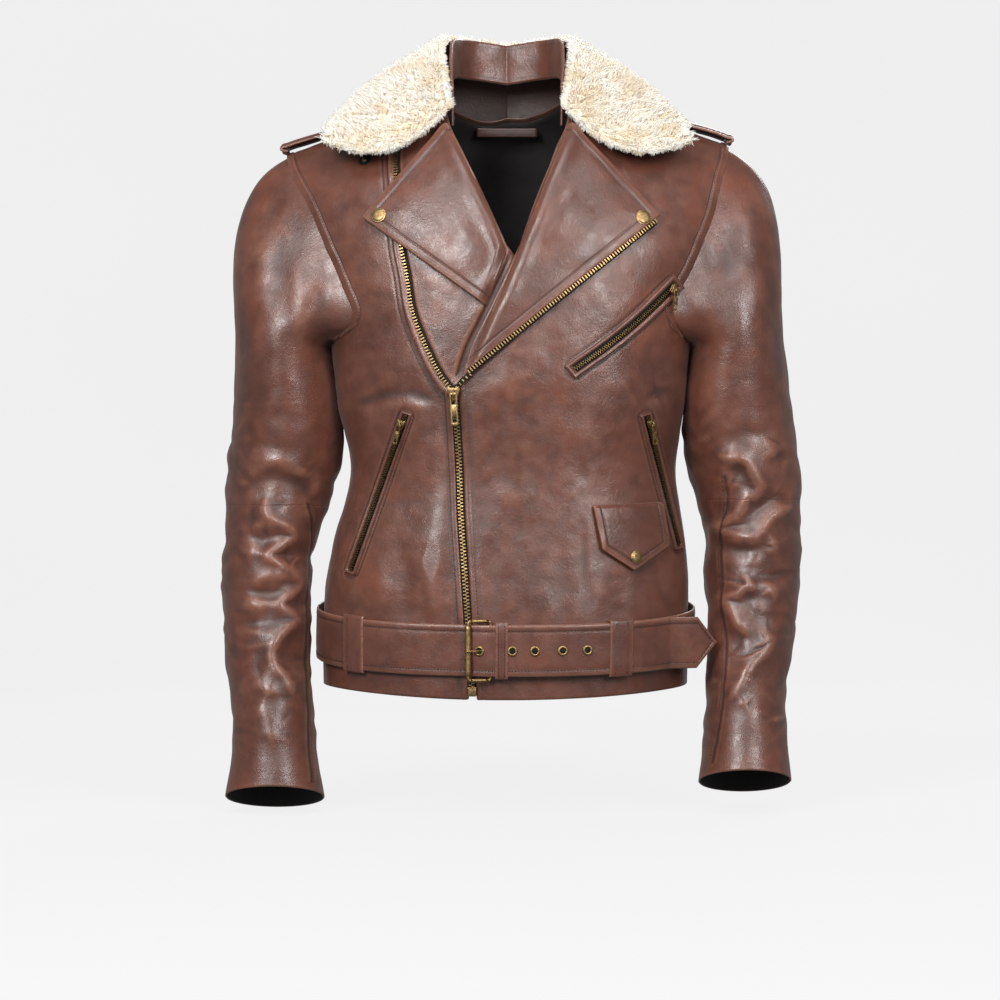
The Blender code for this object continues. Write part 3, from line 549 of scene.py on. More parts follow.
class Piece:
    """Collects closed shapes in millimetres and makes one object of them."""

    def __init__(self):
        self.verts, self.faces, self.slots, self.wear, self.dark_and_shade = [], [], [], [], []
        self.smooth = []
        self.count = 0

    def add(self, verts, faces, slot=0, wear=0.0, dark_and_shade=0.0, smooth=True):
        verts = np.asarray(verts, float).reshape(-1, 3)
        for group in faces if isinstance(faces, list) else [faces]:
            group = np.asarray(group, int)
            self.faces.append(group + self.count)
            self.slots.append(np.broadcast_to(slot, len(group)).astype(int))
            self.smooth.append(np.full(len(group), smooth))
        self.verts.append(verts)
        self.wear.append(np.broadcast_to(np.asarray(wear, float).ravel(), len(verts)))
        self.dark_and_shade.append(np.broadcast_to(np.asarray(dark_and_shade, float).ravel(), len(verts)))
        self.count += len(verts)

    def make(self, name, finishes, body=None, node=None):
        """Build the object; it stands for node and hangs from body."""
        verts = np.concatenate(self.verts)
        loops = np.concatenate([group.ravel() for group in self.faces])
        sizes = np.concatenate([np.full(len(group), group.shape[1]) for group in self.faces])
        mesh = bpy.data.meshes.new(name)
        mesh.vertices.add(len(verts))
        mesh.loops.add(len(loops))
        mesh.polygons.add(len(sizes))
        mesh.vertices.foreach_set("co", world(verts).astype(np.float32).ravel())
        mesh.loops.foreach_set("vertex_index", loops.astype(np.int32))
        starts = np.concatenate([[0], np.cumsum(sizes)[:-1]])
        mesh.polygons.foreach_set("loop_start", starts.astype(np.int32))
        for finish in finishes:
            mesh.materials.append(finish)
        mesh.polygons.foreach_set("material_index", np.concatenate(self.slots).astype(np.int32))
        mesh.polygons.foreach_set("use_smooth", np.concatenate(self.smooth))
        mesh.update(calc_edges=True)
        for label, values in (("wear", self.wear), ("dark_and_shade", self.dark_and_shade)):
            layer = mesh.attributes.new(label, "FLOAT", "POINT")
            layer.data.foreach_set("value", np.concatenate(values).astype(np.float32))
        layer = mesh.attributes.new("cloth_mm", "FLOAT_VECTOR", "POINT")
        layer.data.foreach_set("vector", verts.astype(np.float32).ravel())
        mesh.validate()
        made = bpy.data.objects.new(name, mesh)
        bpy.context.scene.collection.objects.link(made)
        if body:
            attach(made, body)
        if node:
            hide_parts(node)
        return made


def grid_faces(rows, columns, wrap=False):
    reach = columns if wrap else columns - 1
    r, c = np.meshgrid(np.arange(rows - 1), np.arange(reach), indexing="ij")
    after = (c + 1) % columns
    return np.stack([r * columns + c, r * columns + after, (r + 1) * columns + after,
                     (r + 1) * columns + c], -1).reshape(-1, 4)


def grid_normals(points, outward, wrap=False):
    """Normals of a grid, turned to agree with a rough outward direction."""
    if wrap:
        across = np.roll(points, -1, 1) - np.roll(points, 1, 1)
    else:
        across = np.gradient(points, axis=1)
    normals = unit(np.cross(across, np.gradient(points, axis=0)))
    return normals * np.sign((normals * outward).sum() or 1)


def shell(piece, points, outward, thickness, slots=(0, 0), wrap=False, wear=0.0, dark_and_shade=0.0,
          normals=None, round_edge=0.42):
    """A closed sheet: an outer grid, an inner one beneath it, and rounded rims."""
    rows, columns = points.shape[:2]
    if normals is None:
        normals = grid_normals(points, outward, wrap)
    inner = points - normals * thickness
    size = rows * columns
    outside = grid_faces(rows, columns, wrap)
    quad = points.reshape(-1, 3)[outside]
    facing = np.cross(quad[:, 1] - quad[:, 0], quad[:, 3] - quad[:, 0])
    flip = (facing * normals.reshape(-1, 3)[outside[:, 0]]).sum() < 0
    if flip:
        outside = outside[:, ::-1]
    inside = outside[:, ::-1] + size
    index = np.arange(size).reshape(rows, columns)
    if wrap:
        rings = [(index[0], points[0] - points[1], True), (index[-1], points[-1] - points[-2], False)]
    else:
        edge = np.concatenate([index[0, :-1], index[:-1, -1], index[-1, :0:-1], index[:0:-1, 0]])
        away = np.concatenate([
            points[0, :-1] - points[1, :-1], points[:-1, -1] - points[:-1, -2],
            points[-1, :0:-1] - points[-2, :0:-1], points[:0:-1, 0] - points[:0:-1, 1]])
        rings = [(edge, away, True)]
    verts = [points.reshape(-1, 3), inner.reshape(-1, 3)]
    faces, count = [], 2 * size
    for ring, away, forward in rings:
        middle = (points.reshape(-1, 3)[ring] + inner.reshape(-1, 3)[ring]) / 2
        verts.append(middle + unit(away) * thickness * round_edge)
        rim = np.arange(len(ring)) + count
        count += len(ring)
        for first, second in ((ring, rim), (rim, ring + size)):
            strip = np.stack([first, second, np.roll(second, -1), np.roll(first, -1)], -1)
            faces.append(strip if forward != flip else strip[:, ::-1])
    extra = count - 2 * size
    wear = np.broadcast_to(np.asarray(wear, float), (rows, columns)).ravel()
    dark_and_shade = np.broadcast_to(np.asarray(dark_and_shade, float), (rows, columns)).ravel()
    slot = [np.full(len(outside), slots[0]), np.full(len(inside), slots[1])]
    slot += [np.full(len(strip), slots[0]) for strip in faces]
    for group, number in zip([outside, inside] + faces, slot):
        piece.faces.append(group + piece.count)
        piece.slots.append(number)
        piece.smooth.append(np.full(len(group), True))
    piece.verts.append(np.concatenate(verts))
    edge_wear = np.concatenate([wear[ring] for ring, _, _ in rings]) + 0.35
    piece.wear.append(np.concatenate([wear, wear * 0, edge_wear]))
    piece.dark_and_shade.append(np.concatenate([dark_and_shade, dark_and_shade, np.zeros(extra)]))
    piece.count += count


def resample(points, pitch, *others):
    """Evenly spaced spots on a polyline, with the other arrays carried along."""
    points = np.asarray(points, float)
    runs = np.concatenate([[0], np.cumsum(np.linalg.norm(np.diff(points, axis=0), axis=1))])
    count = max(int(runs[-1] / pitch), 2)
    at = np.linspace(0, runs[-1], count)
    return [np.stack([np.interp(at, runs, array[:, i]) for i in range(3)], -1)
            for array in (points, *others)]


def frames(path, normals):
    run = unit(np.gradient(path, axis=0))
    up = unit(normals - run * dot(normals, run))
    return run, np.cross(up, run), up


def copies(piece, template, faces, places, x_axes, y_axes, z_axes, slot=0, smooth=True, dark_and_shade=0.0):
    """One copy of a small shape at every place, turned to its own axes."""
    template = np.asarray(template, float)
    spots = (places[:, None] + template[None, :, :1] * x_axes[:, None]
             + template[None, :, 1:2] * y_axes[:, None] + template[None, :, 2:] * z_axes[:, None])
    step = np.arange(len(places))[:, None, None] * len(template)
    groups = [(np.asarray(group)[None] + step).reshape(-1, np.asarray(group).shape[1])
              for group in faces]
    piece.add(spots, groups, slot, 0.0, dark_and_shade, smooth)


def bead(length, radius, flat=0.8, sides=5):
    """A stitch: a short rod with blunt tapered ends."""
    rings = [(-0.5, 0.0), (-0.42, 0.75), (0, 1.0), (0.42, 0.75), (0.5, 0.0)]
    verts = [(rings[0][0] * length, 0, 0)]
    for x, size in rings[1:-1]:
        for k in range(sides):
            turn = math.tau * k / sides
            reach = radius * size
            verts.append((x * length, math.cos(turn) * reach, math.sin(turn) * reach * flat))
    verts.append((rings[-1][0] * length, 0, 0))
    k = np.arange(sides)
    after = (k + 1) % sides
    caps = np.concatenate([np.stack([k * 0, 1 + after, 1 + k], -1),
                           np.stack([k * 0 + 3 * sides + 1, 1 + 2 * sides + k, 1 + 2 * sides + after], -1)])
    sides_faces = np.concatenate([np.stack([1 + ring * sides + k, 1 + ring * sides + after,
                                            1 + (ring + 1) * sides + after, 1 + (ring + 1) * sides + k], -1)
                                  for ring in range(2)])
    return np.array(verts), [caps, sides_faces]


def stitches(piece, path, normals, slot, pitch=3.1, length=2.3, radius=0.36):
    spots, ups = resample(path, pitch, normals)
    run, side, up = frames(spots, ups)
    verts, faces = bead(length, radius)
    copies(piece, verts, faces, spots, run, side, up, slot)


def brick(size, taper=1.0, chamfer=0.18):
    """A block with chamfered top edges; taper narrows its top."""
    x, y, z = [value / 2 for value in size]
    levels = [(-z, 1.0), (z - chamfer, lerp(1.0, taper, 0.85)), (z, taper - chamfer / min(x, y) * 0.5)]
    verts = [(sx * x * s, sy * y * s, height) for height, s in levels
             for sx, sy in ((-1, -1), (1, -1), (1, 1), (-1, 1))]
    faces = [(3, 2, 1, 0), (8, 9, 10, 11)]
    for ring in range(2):
        for k in range(4):
            after = (k + 1) % 4
            faces.append((ring * 4 + k, ring * 4 + after, ring * 4 + 4 + after, ring * 4 + 4 + k))
    return np.array(verts), [np.array(faces)]


def rounded_block(size, radius, taper=1.0, segments=2):
    """A box with round edges, its lower end (-y) narrowed by taper."""
    shape = bmesh.new()
    bmesh.ops.create_cube(shape, size=1)
    for vert in shape.verts:
        narrow = taper if vert.co.y < 0 else 1.0
        vert.co = Vector((vert.co.x * size[0] * narrow, vert.co.y * size[1], vert.co.z * size[2]))
    bmesh.ops.bevel(shape, geom=shape.edges[:], offset=radius, segments=segments, affect="EDGES",
                    profile=0.5)
    return from_bmesh(shape)


def from_bmesh(shape):
    bmesh.ops.triangulate(shape, faces=shape.faces[:])
    shape.verts.ensure_lookup_table()
    verts = np.array([vert.co for vert in shape.verts])
    faces = np.array([[vert.index for vert in face.verts] for face in shape.faces])
    shape.free()
    return verts, [faces]


def flat_plate(outlines, thickness, bevel=0.25):
    """A flat piece in XY from closed outlines, the first its rim and the others holes."""
    curve = bpy.data.curves.new("outline", "CURVE")
    curve.dimensions = "2D"
    curve.fill_mode = "BOTH"
    curve.extrude = thickness / 2 - bevel
    curve.bevel_depth = bevel
    curve.bevel_resolution = 1
    curve.offset = -bevel
    for outline in outlines:
        spline = curve.splines.new("POLY")
        spline.points.add(len(outline) - 1)
        for point, (x, y) in zip(spline.points, outline):
            point.co = (x, y, 0, 1)
        spline.use_cyclic_u = True
    holder = bpy.data.objects.new("outline", curve)
    mesh = bpy.data.meshes.new_from_object(holder)
    shape = bmesh.new()
    shape.from_mesh(mesh)
    bmesh.ops.remove_doubles(shape, verts=shape.verts, dist=1e-4)
    bmesh.ops.recalc_face_normals(shape, faces=shape.faces)
    bpy.data.objects.remove(holder)
    bpy.data.meshes.remove(mesh)
    bpy.data.curves.remove(curve)
    return from_bmesh(shape)


def lathe(profile, sides=40):
    """A round shape about Z from (radius, height) points, from the top down the outside.

    It closes on the axis where the profile starts or ends at radius 0, and round to its
    first point where it does not."""
    rings = np.array(profile, float)
    turn = np.arange(sides) * math.tau / sides
    verts, starts = [], []
    for radius, height in rings:
        starts.append(sum(len(group) for group in verts))
        if radius == 0:
            verts.append(np.array([(0, 0, height)]))
        else:
            verts.append(stack(radius * np.cos(turn), radius * np.sin(turn), height))
    k = np.arange(sides)
    after = (k + 1) % sides
    pairs = list(range(len(rings) - 1))
    if rings[0][0] > 0:
        pairs.append(len(rings) - 1)
    triangles, quads = [], []
    for i in pairs:
        j = (i + 1) % len(rings)
        first, second = starts[i], starts[j]
        if rings[i][0] == 0:
            triangles.append(np.stack([k * 0 + first, second + k, second + after], -1))
        elif rings[j][0] == 0:
            triangles.append(np.stack([first + k, k * 0 + second, first + after], -1))
        else:
            quads.append(np.stack([first + k, second + k, second + after, first + after], -1))
    return np.concatenate(verts), [np.concatenate(group) for group in (triangles, quads) if group]


def placed(shape, place, normal, upward=(0, 0, 1)):
    """A shape moved so that its Z is the normal and its Y is as near upward as it can be."""
    verts, faces = shape
    z_axis = unit(np.asarray(normal, float).ravel())
    x_axis = unit(np.cross(np.asarray(upward, float), z_axis))
    y_axis = np.cross(z_axis, x_axis)
    moved = (np.asarray(place, float).ravel() + verts[:, :1] * x_axis + verts[:, 1:2] * y_axis
             + verts[:, 2:] * z_axis)
    return moved, faces


def wire(path, radius, sides=10, closed=False, squash=1.0, up=None):
    """A round bar along a path, with capped ends unless it is closed."""
    path = np.asarray(path, float)
    if closed:
        run = unit(np.roll(path, -1, 0) - np.roll(path, 1, 0))
    else:
        run = unit(np.gradient(path, axis=0))
    guide = np.array((0, 0, 1.0)) if up is None else np.asarray(up, float)
    side = unit(np.cross(run, guide))
    top = np.cross(side, run)
    turn = np.arange(sides) * math.tau / sides
    radius = np.broadcast_to(radius, len(path))[:, None, None]
    ring = (path[:, None] + side[:, None] * np.cos(turn)[:, None] * radius
            + top[:, None] * np.sin(turn)[:, None] * radius * squash)
    count = len(path)
    faces = grid_faces(count, sides, True)[:, ::-1]
    if closed:
        k = np.arange(sides)
        after = (k + 1) % sides
        last = (count - 1) * sides
        faces = np.concatenate([faces, np.stack([last + k, k, after, last + after], -1)])
        return ring.reshape(-1, 3), [faces]
    verts = np.concatenate([ring.reshape(-1, 3), path[:1], path[-1:]])
    k = np.arange(sides)
    after = (k + 1) % sides
    first, last = count * sides, count * sides + 1
    end = (count - 1) * sides
    caps = np.concatenate([np.stack([k * 0 + first, k, after], -1),
                           np.stack([k * 0 + last, end + after, end + k], -1)])
    return verts, [faces, caps]


# Finishes -------------------------------------------------------------------------------


class Shader:
    """A node material with a few short ways to wire it."""

    def __init__(self, name, place="cloth_mm"):
        self.material = bpy.data.materials.new(name)
        self.material.use_nodes = True
        self.tree = self.material.node_tree
        self.main = self.tree.nodes["Principled BSDF"]
        if place == "object":
            coordinates = self.node("ShaderNodeTexCoord")
            scale = self.node("ShaderNodeVectorMath", operation="SCALE")
            scale.inputs["Scale"].default_value = 1000
            self.link(coordinates.outputs["Object"], scale.inputs[0])
            self.place = scale.outputs[0]
        else:
            self.place = self.attribute(place, "Vector")

    def node(self, kind, **settings):
        made = self.tree.nodes.new(kind)
        for key, value in settings.items():
            setattr(made, key, value)
        return made

    def link(self, source, target):
        self.tree.links.new(source, target)

    def attribute(self, name, output="Fac"):
        made = self.node("ShaderNodeAttribute", attribute_name=name)
        return made.outputs[output]

    def set(self, target, value):
        if isinstance(value, bpy.types.NodeSocket):
            self.link(value, target)
        else:
            target.default_value = value

    def noise(self, size, detail=2.0, roughness=0.5, distortion=0.0, stretch=None):
        made = self.node("ShaderNodeTexNoise")
        made.inputs["Scale"].default_value = 1.0 / size
        made.inputs["Detail"].default_value = detail
        made.inputs["Roughness"].default_value = roughness
        made.inputs["Distortion"].default_value = distortion
        place = self.place
        if stretch:
            mapping = self.node("ShaderNodeMapping")
            mapping.inputs["Scale"].default_value = stretch
            self.link(place, mapping.inputs["Vector"])
            place = mapping.outputs[0]
        self.link(place, made.inputs["Vector"])
        return made.outputs["Fac"]

    def cells(self, size, smooth):
        made = self.node("ShaderNodeTexVoronoi", feature="SMOOTH_F1")
        made.inputs["Scale"].default_value = 1.0 / size
        made.inputs["Smoothness"].default_value = smooth
        self.link(self.place, made.inputs["Vector"])
        return made.outputs["Distance"]

    def ramp(self, value, low, high, start=0.0, end=1.0):
        made = self.node("ShaderNodeMapRange", interpolation_type="SMOOTHSTEP")
        self.set(made.inputs["Value"], value)
        for label, number in (("From Min", low), ("From Max", high), ("To Min", start), ("To Max", end)):
            made.inputs[label].default_value = number
        return made.outputs["Result"]

    def math(self, operation, first, second=0.0, clamp=False):
        made = self.node("ShaderNodeMath", operation=operation, use_clamp=clamp)
        self.set(made.inputs[0], first)
        self.set(made.inputs[1], second)
        return made.outputs[0]

    def mix(self, share, first, second):
        made = self.node("ShaderNodeMix", data_type="RGBA")
        self.set(made.inputs["Factor"], share)
        self.set(made.inputs["A"], first if isinstance(first, bpy.types.NodeSocket) else (*first, 1))
        self.set(made.inputs["B"], second if isinstance(second, bpy.types.NodeSocket) else (*second, 1))
        return made.outputs["Result"]

    def bump(self, height, distance, strength=1.0, before=None):
        made = self.node("ShaderNodeBump")
        made.inputs["Strength"].default_value = strength
        made.inputs["Distance"].default_value = distance
        self.link(height, made.inputs["Height"])
        if before is not None:
            self.link(before, made.inputs["Normal"])
        return made.outputs["Normal"]

    def finish(self, colour, roughness, normal=None, **values):
        self.set(self.main.inputs["Base Color"], colour)
        self.set(self.main.inputs["Roughness"], roughness)
        if normal is not None:
            self.link(normal, self.main.inputs["Normal"])
        for key, value in values.items():
            self.set(self.main.inputs[key.replace("_", " ")], value)
        return self.material


def srgb(*shades):
    """Linear colour of three display values from 0 to 255, none of them nearly black."""
    return tuple(((shade / 255 + 0.055) / 1.055) ** 2.4 for shade in shades)


def leather_finish(name, tone=1.0):
    """Waxed brown hide: mottled colour, pale worn edges, painted shade in creases, sunk grooves and under
    fur, fine pebbled grain.
    """
    shader = Shader(name)
    # The deepest brown is a real mottle tone; a far deeper copy of it colours the painted shade below.
    dark_and_shade, middle, light, tan = [tuple(c * tone for c in srgb(*rgb)) for rgb in
                                ((60, 32, 25), (91, 51, 39), (112, 67, 52), (158, 108, 87))]
    wide = shader.ramp(shader.noise(95, 2.5, 0.55, 0.6), 0.36, 0.66)
    near = shader.ramp(shader.noise(21, 3.0, 0.6, 0.4), 0.34, 0.7)
    fine = shader.ramp(shader.noise(2.6, 3.0, 0.7), 0.3, 0.72)
    colour = shader.mix(wide, middle, light)
    colour = shader.mix(shader.math("MULTIPLY", near, 0.45), colour, dark_and_shade)
    rusty = shader.ramp(shader.noise(60, 2.0, 0.5, 1.0), 0.5, 0.74, 0.0, 0.6)
    colour = shader.mix(rusty, colour, tuple(c * tone for c in srgb(116, 61, 40)))
    colour = shader.mix(shader.math("MULTIPLY", fine, 0.16), colour, light)
    wear, shade = shader.attribute("wear"), shader.attribute("dark_and_shade")
    patches = shader.ramp(shader.noise(5.0, 3.0, 0.7), 0.25, 0.7, 0.45, 1.0)
    patchy = shader.math("MULTIPLY", wear, patches, True)
    colour = shader.mix(shader.math("MULTIPLY", patchy, 0.62), colour, tan)
    # Painted shade: the per-vertex shade value darkens creases, sunk seam and stitch grooves and the skin
    # under the fur.
    shaded = shader.math("MULTIPLY", shade, 0.75, True)
    colour = shader.mix(shaded, colour, tuple(c * 0.22 for c in dark_and_shade))
    rough = shader.ramp(shader.noise(14, 3.0, 0.6), 0.3, 0.7, 0.29, 0.43)
    rough = shader.math("ADD", rough, shader.math("MULTIPLY", shade, 0.2))
    grain = shader.cells(1.15, 0.35)
    pores = shader.noise(0.7, 2.0, 0.6)
    creases = shader.ramp(shader.noise(7.5, 4.0, 0.62, 1.6), 0.3, 0.72)
    normal = shader.bump(creases, 0.00034, 0.26)
    normal = shader.bump(grain, 0.00016, 0.4, normal)
    normal = shader.bump(pores, 0.0001, 0.3, normal)
    return shader.finish(colour, rough, normal, Specular_IOR_Level=0.75,
                         Sheen_Weight=0.12, Sheen_Roughness=0.45, Sheen_Tint=(1.0, 0.86, 0.82, 1))


def cloth_finish(name, colour, weave, roughness=0.85, sheen=0.0, place="cloth_mm"):
    """Woven stuff: two crossing threads in the relief, and a slightly uneven colour."""
    shader = Shader(name, place)
    uneven = shader.ramp(shader.noise(9, 3.0, 0.6), 0.3, 0.7)
    tone = shader.mix(uneven, colour, tuple(c * 0.68 for c in colour))
    waves = []
    for axis in ("X", "Z"):
        wave = shader.node("ShaderNodeTexWave", wave_type="BANDS", bands_direction=axis)
        wave.inputs["Scale"].default_value = 0.314 / weave
        wave.inputs["Distortion"].default_value = 0.6
        shader.link(shader.place, wave.inputs["Vector"])
        waves.append(wave.outputs["Fac"])
    normal = shader.bump(shader.math("MULTIPLY", *waves), 0.00025, 0.6)
    return shader.finish(tone, roughness, normal, Sheen_Weight=sheen)


def brass_finish(name, bright=1.0):
    """Antique brass: golden where it is rubbed, brown tarnish elsewhere, fine scratches."""
    shader = Shader(name)
    tarnish = shader.ramp(shader.noise(3.2, 4.0, 0.65, 0.5), 0.36, 0.68)
    colour = shader.mix(tarnish, tuple(c * bright for c in srgb(176, 148, 104)),
                        tuple(c * bright for c in srgb(132, 106, 70)))
    specks = shader.ramp(shader.noise(0.9, 3.0, 0.7), 0.6, 0.8, 0, 0.35)
    colour = shader.mix(specks, colour, srgb(74, 56, 38))
    rough = shader.ramp(shader.noise(1.8, 3.0, 0.6), 0.25, 0.75, 0.34, 0.5)
    scratches = shader.noise(0.5, 3.0, 0.7, 0.0, (1.0, 1.0, 0.12))
    normal = shader.bump(scratches, 0.00006, 0.5)
    return shader.finish(colour, rough, normal, Metallic=1.0)


def wool_finish(name):
    """Cream pile with warm patches and pale flecks; painted shade deepens towards the roots, and a faint
    emission gives it a painted glow.
    """
    shader = Shader(name)
    patch = shader.ramp(shader.noise(34, 3.0, 0.6, 0.8), 0.46, 0.66)
    colour = shader.mix(patch, srgb(255, 250, 240), srgb(240, 220, 188))
    fleck = shader.ramp(shader.noise(2.2, 2.0, 0.6), 0.35, 0.7, 0, 0.4)
    colour = shader.mix(fleck, colour, srgb(255, 250, 240))
    # Painted shade in the pile: the per-vertex shade value, full at the roots and on the skin beneath,
    # mixes in a deeper cream.
    root = shader.attribute("dark_and_shade")
    colour = shader.mix(shader.math("MULTIPLY", root, 0.62, True), colour, srgb(232, 212, 182))
    # Painted glow: a faint emission in the pile's own colour stands in for light passing through the locks.
    shader.set(shader.main.inputs["Emission Color"], colour)
    return shader.finish(colour, 0.9, None, Emission_Strength=0.05, Sheen_Weight=0.5,
                         Sheen_Roughness=0.5, Subsurface_Weight=0.25,
                         Subsurface_Radius=(0.004, 0.003, 0.002), Subsurface_Scale=0.6)


LEATHER_SKIN = leather_finish("leather_hide")
LEATHER_DARK = leather_finish("leather_trim", 0.86)
LEATHER_INSIDE = leather_finish("leather_inside", 0.42)
LEATHER_BACK = cloth_finish("leather_flesh", srgb(78, 52, 40), 0.6, 0.9)
LINING = cloth_finish("lining_satin", srgb(26, 20, 18), 0.35, 0.5, 0.1)
TAPE = cloth_finish("zip_tape", srgb(20, 19, 19), 0.5, 0.9)
THREAD = cloth_finish("thread", srgb(60, 33, 25), 0.25, 0.6)
BRASS = brass_finish("antique_brass")
TEETH = brass_finish("zip_teeth", bright=1.3)
# Painted shade: a darkened copy of the brass for the pocket teeth down in their slits.
TEETH_SHADED = brass_finish("zip_teeth_shaded", bright=0.55)
WOOL = wool_finish("shearling_pile")
POCKETING_CAD = cloth_finish("pocketing", srgb(60, 52, 44), 0.5, 0.9, 0.0, "object")
LEATHER_SET = [LEATHER_SKIN, LEATHER_BACK, THREAD, LINING]


# Leather of the torso -------------------------------------------------------------------

LEFT_ARMHOLE = side_edge(1, ARMHOLE_FRONT)
RIGHT_ARMHOLE = side_edge(-1, ARMHOLE_FRONT)
ZIP_HEIGHTS = np.linspace(113, 412, 60)
UPPER_HEIGHTS = np.linspace(414, 660, 60)
CLOSED_ZIP = np.stack([along(ZIP_LOWER, ZIP_HEIGHTS), ZIP_HEIGHTS], -1)
OPEN_ZIP = np.stack([along(ZIP_RIGHT_UPPER, UPPER_HEIGHTS), UPPER_HEIGHTS], -1)


def edge_gap(x, z, edge):
    """How far inside an edge a point is, measured square to the edge."""
    slope = (edge(z + 1) - edge(z - 1)) / 2
    return np.abs(x - edge(z)) / np.sqrt(1 + slope ** 2)


def band(gap, width, height):
    """A turned edge: raised to width, with its row of stitches sunk beside it."""
    raised = height * ease((width + 0.6 - gap) / 1.4) * (0.55 + 0.45 * ease(gap / 2.5))
    return raised - 0.55 * np.exp(-((gap - width) / 0.9) ** 2)


def pocket_path(name, t):
    """Points of a pocket's slit, t from 0 at its low end to 1 at its high one."""
    low, high, bow, _ = POCKETS[name]
    low, high = np.array(low, float), np.array(high, float)
    run = (high - low) / np.linalg.norm(high - low)
    t = np.asarray(t, float)[..., None]
    return lerp(low, high, t) + np.array((run[1], -run[0])) * bow * np.sin(math.pi * t)


def pocket_gap(x, z, name):
    low, high, _, _ = POCKETS[name]
    line = np.array([low, pocket_path(name, 0.5), high], float)
    return distance_to(smooth_line(line, 4), x, z)[0]


def front_relief(x, z, under_edge=False):
    """Height of the front's folds, bands and seams above its even surface."""
    flat = flat_spot(x, z)
    soft = folds([(line, width * 1.5, rise) for line, width, rise in FRONT_FOLDS], x, z)
    soft = soft + 2.4 * noise(flat, 92, 1) + 1.1 * noise(flat, 41, 2)
    soft += 0.35 * noise(flat, 15, 3)
    soft += 1.6 * noise(flat_spot(x, z / 3.2), 26, 4) * ease((300 - z) / 90)
    soft *= 1 - 0.6 * ease((205 - z) / 25)
    closed, _ = distance_to(CLOSED_ZIP, x, z)
    opened, _ = distance_to(OPEN_ZIP, x, z)
    quiet = 1 - np.exp(-(closed / 15) ** 2) * (z < 425)
    quiet *= 1 - np.exp(-(opened / 13) ** 2)
    pocket_gaps = [(pocket_gap(x, z, name), half) for name, (_, _, _, half) in POCKETS.items()]
    for gap, _ in pocket_gaps:
        quiet *= 1 - np.exp(-(gap / 16) ** 2)
    flap = ease((x - 72) / 10) * ease((166 - x) / 10) * ease((z - 228) / 10) * ease((312 - z) / 10)
    lapels = np.maximum(inside_lapel(LAPEL_LEFT, x, z), inside_lapel(LAPEL_RIGHT, x, z))
    height = soft * quiet * (1 - 0.8 * flap) * (1 - 0.65 * lapels)
    height = np.clip(height, -5, 3.4)
    for edge in (LEFT_ARMHOLE, RIGHT_ARMHOLE):
        near = (z > 466) & (np.sign(x) == np.sign(edge(600.0)))
        height += np.where(near, band(edge_gap(x, z, edge), 7.5, 1.0), 0)
    low = (z < 420) & (closed < 30)
    height += np.where(low, band(closed - ZIP_HALF_GAP, 5.5, 0.9), 0)
    side = x < along(ZIP_RIGHT_UPPER, z) - 1
    high = (z > 408) & (x < -45)
    first = np.where(side & high, band(opened - 3.4, 4.0, 1.5), 0)
    second = np.where(side & high, -0.45 * np.exp(-((opened - 12.5) / 0.9) ** 2), 0)
    trough = np.where(high & (opened < 12) & ~side, -1.2 * ease((5.4 - opened) / 1.2), 0)
    roll = along(ROLL_LEFT, z)
    tuck = ease((x - roll + 9) / 5) * (x < roll + 4.5) * ease((z - 418) / 12)
    tuck = np.where((z < 560) & under_edge, tuck, 0)
    height += first + second + trough - 3.6 * tuck
    for gap, half in pocket_gaps:
        height += -0.5 * np.exp(-((gap - half - 2.6) / 0.9) ** 2)
    return height


def inside_lapel(corners, x, z):
    """1 under a lapel, fading to 0 outside it."""
    neck, tip, foot, _ = [np.array(corner, float) for corner in corners]
    turn = np.sign((tip - neck)[0] * (foot - tip)[1] - (tip - neck)[1] * (foot - tip)[0])
    depth = np.full(np.shape(x), 1e9)
    for a, b in ((neck, tip), (tip, foot), (foot, neck)):
        run = (b - a) / np.linalg.norm(b - a)
        depth = np.minimum(depth, turn * (run[0] * (z - a[1]) - run[1] * (x - a[0])))
    return ease((depth + 6) / 12)


def skin(x, z, extra=0.0):
    """A point on the finished front, extra above it."""
    x, z = np.broadcast_arrays(np.asarray(x, float), np.asarray(z, float))
    return front(x, z, front_relief(x, z) + extra)


def edge_wear(gap, reach=1.6):
    return np.exp(-(np.maximum(gap, 0) / reach) ** 2)


def front_panel(name, node, first, second, stitch_rows, columns, under_edge=False):
    u, v = np.meshgrid(np.linspace(0, 1, columns), np.linspace(0, 1, 300))
    phi, z = panel(first, second, False, u, v)
    base, normals = body_at(phi, z), body_normal(phi, z)
    x, z = base[..., 0], base[..., 2]
    height = front_relief(x, z, under_edge)
    points = base + normals * height[..., None]
    # How far each point stands above or below its neighbours: ridges are worn paler, and creases get
    # painted shade.
    rough = height - 0.25 * (np.roll(height, 3, 0) + np.roll(height, -3, 0) + np.roll(height, 3, 1)
                             + np.roll(height, -3, 1))
    rough[:4], rough[-4:], rough[:, :4], rough[:, -4:] = 0, 0, 0, 0
    edges = np.minimum(np.linalg.norm(points - points[:, :1], axis=-1),
                       np.linalg.norm(points - points[:, -1:], axis=-1))
    wear = np.clip(rough * 1.6, 0, 0.8) + 0.55 * edge_wear(edges)
    dark_and_shade = np.clip(-rough * 1.8, 0, 0.7)
    piece = Piece()
    shell(piece, points, normals, LEATHER, (0, 1), wear=wear, dark_and_shade=dark_and_shade, normals=normals)
    for path in stitch_rows:
        path = np.asarray(path, float)
        stitches(piece, skin(path[:, 0], path[:, 1], STITCH_LIFT),
                 front_normal(path[:, 0], path[:, 1]), 2)
    return piece.make(name, LEATHER_SET, "root", node)


